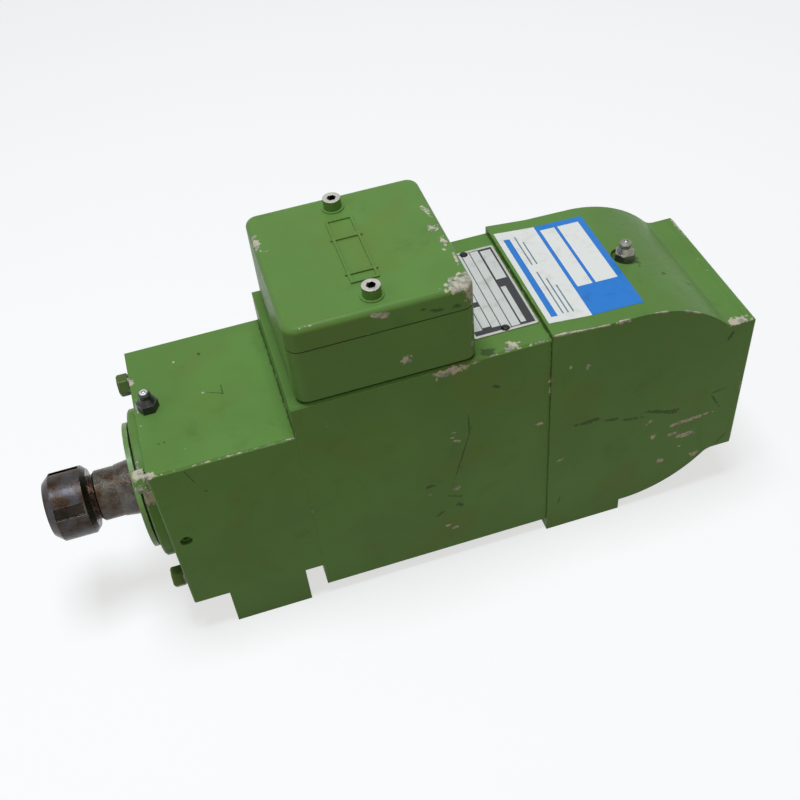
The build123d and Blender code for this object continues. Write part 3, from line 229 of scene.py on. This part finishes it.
rear_chips_and_highlights += [
    # Painted highlight, partly wear: thin primer-coloured lines along the rear housing's near-top edge
    # (these five).
    ((257.0, -44.8, 69.7), (8.0, 0.7, 0.7), (0, 5.4, 0)),
    ((266.0, -44.8, 68.9), (20.0, 0.55, 0.6), (0, 5.4, 0)),
    ((285.0, -44.8, 67.9), (3.5, 0.7, 0.7), flat),
    ((305.0, -44.8, 67.0), (4.5, 0.5, 0.6), (0, 10, 0)),
    ((322.0, -44.8, 61.6), (6.0, 0.55, 0.6), (0, 26, 0)),
    ((348.5, -42.6, 45.0), (6.5, 2.6, 1.0), flat),
    ((rear_end - 0.3, 36.0, 44.7), (1.6, 10.0, 1.2), flat),
    ((rear_end - 0.6, rear_side, -1.6), (1.9, 1.4, 3.2), flat),
    ((rear_end, rear_side, 25.0), (0.7, 0.7, 18.0), flat),
]
rear_marks_and_shade = side_marks(
    rear_side,
    (311.5, -3.8, 9.5, 1.3, 21), (320, -6, 3, 1.6, 0), (295.4, -2.8, 5.5, 0.8, 10),
    (270, 4.4, 7, 1.4, 0), (283, 1.2, 4, 1, 10), (344.5, 0, 4.8, 0.5, -12),
    (342.9, -6.4, 0.5, 6, -28), (351.2, -40, 0.45, 5.8, 40), (257, -52, 0.5, 2.6, 15),
    (345, 38, 1, 3.4, 20))
rear_marks_and_shade += [
    # Painted shade: a dark floor in the rear grease nipple's recess.
    ((307.0, 0.0, 65.4), (7.2, 7.2, 1.1), flat),
    ((334.0, -18.0, 54.0), (2.2, 0.9, 1.4), flat),
    ((322.0, -14.0, 61.4), (1.8, 0.8, 1.2), (0, 0, 20)),
    # Painted shade: a dark line along the seam with the stator housing.
    ((rear_seam, 0.0, stator_top), (0.6, 80.0, 0.8), flat),
]
box_chips_and_highlights = side_marks(
    near_side,
    (180, 79.6, 2.5, 2, 0))
box_chips_and_highlights += [
    ((lid_high.x - 4.0, -40.0, lid_top - 1.2), (8.5, 5.5, 1.9), (0, 0, 20)),
    ((lid_high.x - 2.0, -42.0, lid_top - 5.5), (3.4, 3.6, 6.5), flat),
    ((lid_high.x - 9.0, -43.5, lid_top - 2.2), (2.6, 1.4, 1.2), flat),
    ((lid_high.x - 0.6, -43.0, base_top - 8.0), (1.0, 1.6, 9.0), flat),
    ((210.6, 14.0, lid_top), (1.7, 4.6, 1.2), (0, 0, 10)),
    ((209.6, 0.5, lid_top), (2.8, 2.6, 1.2), (0, 0, 30)),
    ((210.4, -9.0, lid_top), (1.5, 4.6, 1.2), flat),
    ((208.6, -16.2, lid_top), (2.2, 2.0, 0.7), flat),
    ((211.6, -24.0, lid_top), (0.8, 7.0, 1.2), flat),
    ((130.6, 21.5, lid_top - 1.0), (1.8, 4.2, 1.6), flat),
    ((132.6, 14.4, lid_top), (2.6, 1.6, 0.8), (0, 0, -20)),
    ((144.2, 13.4, lid_top), (1.5, 1.4, 0.5), flat),
    ((170.8, -43.8, 109.0), (4.2, 1.6, 1.5), (0, 12, 0)),
    ((211.6, -43.6, 77.7), (1.2, 1.6, 1.8), flat),
    # Painted highlight, partly wear: a thin primer-coloured line along the lid's near-top edge.
    ((lid_low.x + 10.0, -42.8, lid_top - 0.8), (5.0, 0.6, 0.6), flat),
]
box_marks = side_marks(
    near_side,
    (190, 106, 1.2, 0.8, 0), (196, 103.5, 3, 0.9, 12), (205, 103, 2, 1, 0))
bolt_chips = [
    ((51.4, -33.5, 43.2), (4.2, 5.0, 2.2), flat),
    ((51.4, -38.0, 37.0), (4.2, 1.8, 3.0), flat),
]
cover_chips = [
    ((51.5, -30.5, 22.5), (4.0, 3.5, 4.5), flat),
    ((50.4, -22.0, 31.0), (1.2, 7.0, 2.0), (38, 0, 0)),
]
# Painted shade: near-black spots in the sockets of the lid screws, where shade falls.
painted_socket_shade = [((171.5, y, screw_top - 2.6), (2.7, 2.7, 4.0), flat) for y in (-34.0, 34.0)]


def green_enamel(tree, place, wear=0.0, chips_and_highlights=(), marks=(), film="#638943"):
    """Brushed machine enamel over pale primer: a satin film, soft dirt, chipped and rubbed edges,
    primer-coloured spots that are partly painted highlight, and dark marks that are partly painted shade.
    """
    torn = patches(tree, place, 2.2, 0.2, 0.8, 5.0, seed=17.0, span=(-0.7, 0.7))
    dirt = patches(tree, place, 16.0, 0.55, 0.85, 5.0, seed=11.0, span=(0.0, 0.45))
    specks = patches(tree, place, 1.8, 0.735, 0.76, seed=23.0, stretch=(1, 1, 0.4), span=(0.0, 0.6))
    cool = patches(tree, place, 55.0, 0.35, 0.65, 2.0, seed=3.0)
    yellowed = patches(tree, place, 42.0, 0.50, 0.70, 2.0, seed=53.0, span=(0.0, 0.6))
    laid = coats(tree, colour(film), (cool, colour("#679046")), (yellowed, colour("#6A843B")),
                 (dirt, colour("#4F6B2E")), (specks, colour("#2F4420")))
    if marks:
        # Dark marks: real scuffs and stains, and painted shade along seams and in a recess.
        scuffs_and_shade = spots(tree, place, marks, torn)
        faint = add(tree, "Math", {0: scuffs_and_shade, 1: 0.62}, operation="MULTIPLY")
        laid = coats(tree, laid, (faint, colour("#26301A")))
    worn = patches(tree, place, 8.0, 0.60 - wear, 0.65 - wear, 5.0, seed=31.0)
    edge = add(tree, "Math", {0: rubbed_edges(tree, 0.9), 1: worn}, operation="MULTIPLY")
    bare = any_of(tree, [edge, patches(tree, place, 2.6, 0.77, 0.78, seed=41.0)])
    if chips_and_highlights:
        # Spots bared to primer: real chips, and painted highlight lines along near-top edges.
        bare = any_of(tree, [bare, spots(tree, place, chips_and_highlights, torn)])
    greyed = patches(tree, place, 3.5, 0.45, 0.6, 4.0)
    primer = coats(tree, colour("#D2C8AE"), (greyed, colour("#A0A196")))
    brushed = patches(tree, place, 2.5, 0.3, 0.7, stretch=(0.2, 1, 1), seed=71.0, span=(0.33, 0.46))
    peel = patches(tree, place, 1.6, 0.2, 0.8, 2.0, seed=61.0, span=(0.0, 0.3))
    return {"Base Color": coats(tree, laid, (bare, primer)),
            "Roughness": add(tree, "Math", {0: brushed, 1: bare}, operation="MAXIMUM"),
            "height": add(tree, "Math", {0: peel, 1: bare}, operation="SUBTRACT"),
            "depth": 0.08, "edge": 0.6, "IOR": 1.45, "Specular IOR Level": 0.13}


def socket_screw(tree, place):
    """Screws painted over with the lid, with painted shade, near black, in their sockets."""
    values = green_enamel(tree, place, wear=0.05)
    # Painted shade, near black, in the sockets.
    inside = spots(tree, place, painted_socket_shade, 0.0)
    values["Base Color"] = coats(tree, values["Base Color"], (inside, colour("#0B0C0A")))
    return values


def brown_steel(tree, place, light, dark, rust="#5C3220", rusty=0.05, pitted=0.5):
    """Turned steel left in a damp shop: a brown oily film, small pits, and edges rubbed bright."""
    # Real pits and tool lines are about 0.2 mm wide; they are drawn coarser, so that they show.
    red = patches(tree, place, 3.5, 0.62 - rusty, 0.72 - rusty, 5.0, seed=25.0)
    rubbed = add(tree, "Math", {0: rubbed_edges(tree, 0.5), 1: patches(tree, place, 4.0, 0.3, 0.55)},
                 operation="MULTIPLY")
    browned = patches(tree, place, 7.0, 0.35, 0.65, 5.0, seed=15.0)
    film = coats(tree, colour(light), (browned, colour(dark)), (red, colour(rust)),
                 (rubbed, colour("#837A6A")))
    pits = patches(tree, place, 0.9, 0.35, 0.6, seed=35.0, span=(0.0, pitted))
    lines = patches(tree, place, 0.4, 0.2, 0.8, stretch=(2.5, 0.15, 0.15), seed=5.0, span=(0.0, 0.2))
    return {"Base Color": film,
            "Metallic": add(tree, "MapRange", {"Value": red, "To Min": 0.9, "To Max": 0.2}),
            "Roughness": patches(tree, place, 6.0, 0.3, 0.7, seed=45.0, span=(0.16, 0.32)),
            "height": add(tree, "Math", {0: pits, 1: lines}, operation="ADD"),
            "depth": 0.12, "edge": 0.3}


def machined_metal(tree, place, code, roughness=0.34, line=0.5, stain=0.3):
    """Turned, ground or plated metal: an even colour, fine tool lines and a little staining."""
    # Real tool lines are about 0.1 mm apart; they are drawn coarser, so that they show.
    stained = patches(tree, place, 5.0, 0.5, 0.75, 4.0, seed=9.0, span=(0.0, stain))
    return {"Base Color": coats(tree, colour(code), (stained, colour("#4A4338"))),
            "Metallic": 1.0,
            "Roughness": patches(tree, place, line, 0.3, 0.7, 2.0, (1, 0.15, 1), 19.0,
                                 (roughness - 0.05, roughness + 0.08)),
            "height": patches(tree, place, line, 0.3, 0.7, 2.0, (1, 0.15, 1), 29.0),
            "depth": 0.01, "edge": 0.25}


def moulded(tree, place, code="#17181A", second="#232426", roughness=0.5, size=1.0, depth=0.02):
    """Moulded plastic, rubber sheet or dipped varnish: dull, with a fine even texture."""
    mottled = patches(tree, place, size, 0.35, 0.65)
    return {"Base Color": coats(tree, colour(code), (mottled, colour(second))),
            "Roughness": patches(tree, place, size, 0.3, 0.7, seed=4.0,
                                 span=(roughness - 0.05, roughness + 0.05)),
            "height": patches(tree, place, size, 0.2, 0.8, seed=7.0),
            "depth": depth, "edge": 0.25, "IOR": 1.5}


def printed_film(tree, place, code="#F4F3EC", second="#E2DED0", roughness=0.4):
    """Printed film or plate enamel: one smooth colour, a little dirty and scuffed."""
    dirt = patches(tree, place, 6.0, 0.5, 0.72, 5.0, seed=2.0, span=(0.0, 0.6))
    return {"Base Color": coats(tree, colour(code), (dirt, colour(second))),
            "Roughness": patches(tree, place, 4.0, 0.4, 0.7, seed=6.0,
                                 span=(roughness, roughness + 0.15)),
            "IOR": 1.5}


def material(name, finish, over=None, where=None):
    """A material of one finish, or of two with the second laid where the mask says."""
    made = bpy.data.materials.new(name)
    made.use_nodes = True
    tree = made.node_tree
    shader = tree.nodes["Principled BSDF"]
    place = add(tree, "VectorMath", {0: add(tree, "TexCoord", {}, "Object"), "Scale": 1 / mm},
                operation="SCALE")
    values = finish(tree, place)
    if over:
        mask = where(tree, place)
        upper = over(tree, place)
        for key in ("Base Color", "Metallic", "Roughness", "height"):
            low, high = values.get(key, 0.0), upper.get(key, 0.0)
            if key == "Base Color":
                values[key] = coats(tree, low, (mask, high))
            else:
                values[key] = add(tree, "Mix", {0: mask, 2: low, 3: high}, 0)
    for key in ("Base Color", "Metallic", "Roughness", "IOR", "Specular IOR Level"):
        value = values.get(key)
        if isinstance(value, bpy.types.NodeSocket):
            tree.links.new(value, shader.inputs[key])
        elif value is not None:
            shader.inputs[key].default_value = value
    if "height" in values:
        soft = add(tree, "Bevel", {"Radius": values["edge"] * mm}, samples=4)
        bump = add(tree, "Bump", {"Height": values["height"], "Distance": values["depth"] * mm,
                                  "Strength": 1.0, "Normal": soft})
        tree.links.new(bump, shader.inputs["Normal"])
    return made


# Where a second finish starts, in millimetres: the nut's slots and the relief groove along X, the radius of
# the slots' floor and of the slinger's cone, and the width over which one finish turns into the other
slot_middle, slot_reach, slot_floor = 11.9, 7.6, 16.4
groove_middle, groove_reach = 23.0, 2.0
cone_radius = 15.2
edge_fade = 0.6


def screw_rim(tree, place):
    """1 on the level rims of the lid screws, rubbed bright by the key."""
    height = add(tree, "SeparateXYZ", {0: place}, 2)
    near_top = add(tree, "MapRange",
                   {"Value": height, "From Min": screw_top - 0.5, "From Max": screw_top - 0.2})
    up = add(tree, "SeparateXYZ", {0: add(tree, "TexCoord", {}, "Normal")}, 2)
    level = add(tree, "MapRange", {"Value": up, "From Min": 0.4, "From Max": 0.7})
    return add(tree, "Math", {0: near_top, 1: level}, operation="MULTIPLY")


def bright_tip(tree, place):
    """1 on the end of the front grease nipple, where the gun has rubbed it bare."""
    height = add(tree, "SeparateXYZ", {0: place}, 2)
    return add(tree, "MapRange",
               {"Value": height, "From Min": nipple_top - 0.6, "From Max": nipple_top - 0.3})


def from_axis(tree, place):
    """The distance from the spindle axis in millimetres."""
    off_axis = add(tree, "VectorMath", {0: place, 1: (0.0, 1.0, 1.0)}, operation="MULTIPLY")
    return add(tree, "VectorMath", {0: off_axis}, "Value", operation="LENGTH")


def in_slots(tree, place):
    """1 in the spanner slots and the bore of the nut, which get a much darker steel as painted shade."""
    along = add(tree, "SeparateXYZ", {0: place}, 0)
    middle = add(tree, "Math", {0: along, 1: slot_middle, 2: slot_reach}, operation="COMPARE")
    inner = add(tree, "MapRange", {"Value": from_axis(tree, place), "From Min": slot_floor + edge_fade,
                                   "From Max": slot_floor})
    return add(tree, "Math", {0: middle, 1: inner}, operation="MULTIPLY")


def in_groove(tree, place):
    """1 in the relief groove behind the nut, which has rusted."""
    along = add(tree, "SeparateXYZ", {0: place}, 0)
    return add(tree, "Math", {0: along, 1: groove_middle, 2: groove_reach}, operation="COMPARE")


def outer_disc(tree, place):
    """1 on the painted disc of the slinger, 0 on its bare cone."""
    return add(tree, "MapRange", {"Value": from_axis(tree, place), "From Min": cone_radius,
                                  "From Max": cone_radius + edge_fade})


housing_enamel = material("green_enamel", green_enamel)
front_enamel = material("front_block_enamel",
                        partial(green_enamel, chips_and_highlights=front_chips_and_highlights, marks=front_marks_and_shade))
stator_enamel = material("stator_housing_enamel",
                         partial(green_enamel, chips_and_highlights=stator_chips_and_highlights, marks=stator_marks_and_shade))
rear_enamel = material("rear_housing_enamel",
                       partial(green_enamel, chips_and_highlights=rear_chips_and_highlights, marks=rear_marks_and_shade))
box_enamel = material("terminal_box_enamel",
                      partial(green_enamel, chips_and_highlights=box_chips_and_highlights, marks=box_marks))
cover_enamel = material("rubbed_cover_enamel", partial(green_enamel, wear=0.08, chips_and_highlights=cover_chips))
bolt_enamel = material("enamelled_bolts",
                       partial(green_enamel, wear=0.06, chips_and_highlights=bolt_chips, film="#566B38"))
nut_steel = material(
    "oiled_nut_steel",
    partial(brown_steel, light="#454447", dark="#372A1E", rust="#4A2E20", rusty=0.02, pitted=0.4),
    # Much darker steel in the slots and the bore: painted shade.
    partial(brown_steel, light="#2C2824", dark="#1C1815", rust="#3A2218", rusty=0.03, pitted=0.4),
    in_slots)
shaft_steel = material(
    "pitted_shaft_steel",
    partial(brown_steel, light="#504D47", dark="#3A2C1E", rust="#4A3426", rusty=0.02, pitted=1.0),
    partial(brown_steel, light="#38251C", dark="#20150F", rust="#4A2A1C", rusty=0.05, pitted=0.6),
    in_groove)
slinger_finish = material(
    "slinger_half_enamelled",
    partial(brown_steel, light="#5A5956", dark="#3E352C"), partial(green_enamel, wear=0.07), outer_disc)
screw_finish = material(
    "lid_screws_rubbed_bare", socket_screw,
    partial(machined_metal, code="#B9B8B0", roughness=0.36, line=0.8, stain=0.4), screw_rim)
nipple_finish = material(
    "nipple_in_black_enamel",
    partial(moulded, code="#1E2122", second="#2A2E2C", roughness=0.34, size=1.2, depth=0.05),
    partial(machined_metal, code="#C4C4BE", roughness=0.3), bright_tip)
ground_steel = material("ground_bearing_steel",
                        partial(machined_metal, code="#B8B6B2", roughness=0.22, line=0.3, stain=0.1))
dull_steel = material("dull_plain_steel", partial(machined_metal, code="#6A675F", roughness=0.42))
zinc_plate = material("zinc_plate",
                      partial(machined_metal, code="#86867C", roughness=0.38, line=0.6, stain=0.5))
dark_rivets = material("darkened_rivets",
                       partial(machined_metal, code="#2E2E2B", roughness=0.4, line=0.6, stain=0.5))
brass = material("machined_brass", partial(machined_metal, code="#C9A45A", roughness=0.3))
aluminium = material("rolled_aluminium",
                     partial(machined_metal, code="#B9B9B6", roughness=0.4, line=0.6, stain=0.3))
laminations = material("stacked_laminations",
                       partial(machined_metal, code="#6A6A6C", roughness=0.5, line=0.5, stain=0.5))
copper_wire = material(
    "varnished_copper_wire",
    partial(moulded, code="#7A3A18", second="#5A280E", roughness=0.35, size=0.8, depth=0.15))
fan_plastic = material("moulded_fan_plastic", moulded)
board_plastic = material("moulded_terminal_board", partial(moulded, code="#3A2A20", second="#2A1E18"))
rubber = material(
    "sheet_rubber",
    partial(moulded, code="#141614", second="#1F241C", roughness=0.75, size=0.8, depth=0.05))
white_film = material("white_label_film", printed_film)
blue_ink = material("blue_label_ink", partial(printed_film, code="#087CD4", second="#0868B8"))
grey_ink = material("grey_label_ink", partial(printed_film, code="#5A7486", second="#4A6070"))
plate_white = material("plate_white",
                       partial(printed_film, code="#DCDCD6", second="#B8B4A8", roughness=0.45))
plate_black = material("plate_black", partial(printed_film, code="#1A1B1D", second="#26282A"))

slot_finish = {
    "green_paint": housing_enamel,
    "painted_fasteners": bolt_enamel,
    "worn_steel": shaft_steel,
    "slinger_steel": slinger_finish,
    "collet_steel": dull_steel,
    "bearing_steel": ground_steel,
    "plain_steel": dull_steel,
    "zinc": zinc_plate,
    "cage_brass": brass,
    "electrical_steel": laminations,
    "winding": copper_wire,
    "aluminium": aluminium,
    "fan_plastic": fan_plastic,
    "board_plastic": board_plastic,
    "gasket_rubber": rubber,
}
node_finish = {
    "collet_nut": nut_steel,
    "extractor_ring": dull_steel,
    "lid_screws": screw_finish,
    "nameplate_rivets": dark_rivets,
    "front_grease_nipple": nipple_finish,
    "front_bearing_cover": cover_enamel,
    "front_bearing_housing": front_enamel,
    "stator_housing": stator_enamel,
    "rear_housing": rear_enamel,
    "rear_end_plate": rear_enamel,
    "terminal_box_base": box_enamel,
    "terminal_box_lid": box_enamel,
}
for part in frame["record"]["subparts"]:
    name = part["node"]
    slots = nodes[name].data.materials
    slots.clear()
    slots.append(node_finish.get(name, slot_finish[part["material_slot"]]))


def printed_sheet(name, fields, surface, lift, thickness, step=2.0):
    """A thin sheet of printed fields (x0, x1, y0, y1, material) in millimetres, later ones on top."""
    xs = sorted({round(field[k], 3) for field in fields for k in (0, 1)})
    ys = sorted({round(field[k], 3) for field in fields for k in (2, 3)})
    stations = [xs[0]]
    for x in xs[1:]:
        start = stations[-1]
        parts = max(1, round((x - start) / step))
        stations += [start + (x - start) * (k + 1) / parts for k in range(parts)]
    made = bmesh.new()
    grid = [[made.verts.new((x * mm, y * mm, (surface(x) + lift) * mm)) for y in ys]
            for x in stations]
    used = []
    for i in range(len(stations) - 1):
        for j in range(len(ys) - 1):
            x = (stations[i] + stations[i + 1]) / 2
            y = (ys[j] + ys[j + 1]) / 2
            inks = [ink for x0, x1, y0, y1, ink in fields if x0 <= x <= x1 and y0 <= y <= y1]
            if not inks:
                continue
            face = made.faces.new((grid[i][j], grid[i + 1][j], grid[i + 1][j + 1], grid[i][j + 1]))
            if inks[-1] not in used:
                used.append(inks[-1])
            face.material_index = used.index(inks[-1])
    mesh = bpy.data.meshes.new(name)
    made.to_mesh(mesh)
    made.free()
    for ink in used:
        mesh.materials.append(ink)
    sheet = bpy.data.objects.new(name, mesh)
    bpy.context.scene.collection.objects.link(sheet)
    body = sheet.modifiers.new("thickness", "SOLIDIFY")
    body.thickness = thickness * mm
    body.offset = -1.0
    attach(sheet, "motor")


# Profile of the rear housing's top: a collar that falls slightly, a level stretch and an arc
collar_end = 272.0
collar_foot = 68.4
shoulder_x = 294.0
shoulder_top = 68.0
arc_radius = 64.77


def rear_top(x):
    """The height of the rear housing's top along its length, in millimetres."""
    if x < collar_end:
        along = (x - rear_low.x) / (collar_end - rear_low.x)
        return rear_high.z + (collar_foot - rear_high.z) * along
    if x < shoulder_x:
        return collar_foot + (shoulder_top - collar_foot) * (x - collar_end) / (shoulder_x - collar_end)
    return shoulder_top - arc_radius + sqrt(arc_radius ** 2 - (x - shoulder_x) ** 2)


# Label on the rear housing: a white half and a blue half with two blank white fields
label_front, label_back = 251.6, 300.0
label_near, label_far = -36.0, 37.5
blue_front = 273.5
box_near, box_far = -14.5, 33.5
line_front, line_width, line_pitch = 260.6, 0.7, 2.6
label_fields = [
    (label_front, label_back, label_near, label_far, white_film),
    (blue_front, label_back, label_near, label_far, blue_ink),
    (blue_front + 2.0, blue_front + 9.8, box_near, box_far, white_film),
    (blue_front + 11.5, blue_front + 23.0, box_near, box_far, white_film),
    (254.5, 257.8, -32.0, 31.0, blue_ink),
]
for k, start, end in ((0, -31.0, 2.0), (1, -31.0, -4.0), (2, -31.0, -10.0),
                      (0, 8.0, 32.0), (1, 8.0, 27.0)):
    x = line_front + line_pitch * k
    label_fields.append((x, x + line_width, start, end, grey_ink))
printed_sheet("rear_label", label_fields, rear_top, lift=0.12, thickness=0.11)

# Print on the nameplate: a black head strip with two blank boxes, ruled blank fields and black heads
rule = 0.45
head_width = 7.4
plate_front, plate_back = plate_low.x + 1.2, plate_high.x - 1.2
plate_near, plate_far = plate_low.y + 1.4, plate_high.y - 1.4
plate_span = plate_far - plate_near
cells_back = plate_back - head_width
print_fields = [(plate_front, plate_back, plate_near, plate_far, plate_black),
                (plate_front + rule, cells_back, plate_near + rule, plate_far - rule, plate_white),
                (cells_back + 1.0, plate_back - 1.0,
                 plate_far - 0.42 * plate_span, plate_far - 1.6, plate_white),
                (cells_back + 0.8, cells_back + 3.4,
                 plate_near + 1.6, plate_near + 0.48 * plate_span, plate_white)]
rows = 5
row_depth = (cells_back - plate_front) / rows
for k in range(1, rows):
    x = plate_front + k * row_depth
    print_fields.append((x - rule / 2, x + rule / 2, plate_near, plate_far, plate_black))
for row, start, end in ((0, 0.66, 0.74), (1, 0.68, 0.80), (0, 0.30, 0.36), (1, 0.32, 0.38),
                        (0, 0.0, 0.05), (1, 0.0, 0.07), (2, 0.0, 0.05)):
    x = plate_front + row * row_depth
    print_fields.append((x, x + row_depth, plate_near + start * plate_span,
                         plate_near + end * plate_span, plate_black))
printed_sheet("nameplate_print", print_fields, lambda x: plate_high.z,
              lift=0.05, thickness=0.04, step=40.0)

# White table with the object's shadow, and a white room behind it. The table glows a little to the rays
# that see it, so that it looks white while its bounce on the object stays weak.
table_half = 4.0
table_glow = 0.66
table_shade = 0.42
motor_middle = 0.18
corners = [(x * table_half, y * table_half, 0) for x, y in ((-1, -1), (1, -1), (1, 1), (-1, 1))]
table_mesh = bpy.data.meshes.new("table")
table_mesh.from_pydata(corners, [], [(0, 1, 2, 3)])
table = bpy.data.objects.new("table", table_mesh)
table.location = (motor_middle, 0.0, front_low.z * mm)
bpy.context.scene.collection.objects.link(table)


def seen_rays(tree):
    """1 for rays that come from the camera, from a reflection or through glass."""
    kinds = ("Is Camera Ray", "Is Glossy Ray", "Is Transmission Ray")
    return any_of(tree, [add(tree, "LightPath", {}, kind) for kind in kinds])


table_finish = bpy.data.materials.new("white_table")
table_finish.use_nodes = True
tree = table_finish.node_tree
shader = tree.nodes["Principled BSDF"]
shader.inputs["Base Color"].default_value = colour("#A8A296")
shader.inputs["Roughness"].default_value = 0.9
glow = add(tree, "Emission", {"Color": (1, 1, 1, 1), "Strength": table_glow})
shaded = add(tree, "BsdfDiffuse", {"Color": (table_shade, table_shade, table_shade, 1)})
bright = add(tree, "AddShader", {0: glow, 1: shaded})
surface = add(tree, "MixShader", {0: seen_rays(tree), 1: shader.outputs[0], 2: bright})
tree.links.new(surface, tree.nodes["Material Output"].inputs["Surface"])
table.data.materials.append(table_finish)

room = bpy.data.worlds.new("room")
bpy.context.scene.world = room
room.use_nodes = True
tree = room.node_tree
air = tree.nodes["Background"]
air.inputs["Color"].default_value = (1.0, 0.97, 0.92, 1)
air.inputs["Strength"].default_value = 0.15
backdrop = add(tree, "Background", {"Color": (1, 1, 1, 1), "Strength": 1.0})
surface = add(tree, "MixShader", {0: seen_rays(tree), 1: air.outputs[0], 2: backdrop})
tree.links.new(surface, tree.nodes["World Output"].inputs["Surface"])


def lamp(name, place, size, power, code):
    """A square soft lamp aimed at the middle of the motor."""
    data = bpy.data.lights.new(name, "AREA")
    data.shape = "SQUARE"
    data.size = size
    data.energy = power
    data.color = colour(code)[:3]
    made = bpy.data.objects.new(name, data)
    made.location = place
    direction = Vector((motor_middle, 0.0, 0.0)) - Vector(place)
    made.rotation_euler = direction.to_track_quat("-Z", "Y").to_euler()
    bpy.context.scene.collection.objects.link(made)


lamp("ceiling_lamp", (0.12, 0.0, 1.35), size=0.45, power=12.0, code="#EEF6FF")
lamp("window", (-0.9, -0.2, 0.7), size=0.7, power=1.4, code="#F4F8FF")
lamp("side_fill", (0.1, -1.3, 0.35), size=0.8, power=1.35, code="#FFE8C4")
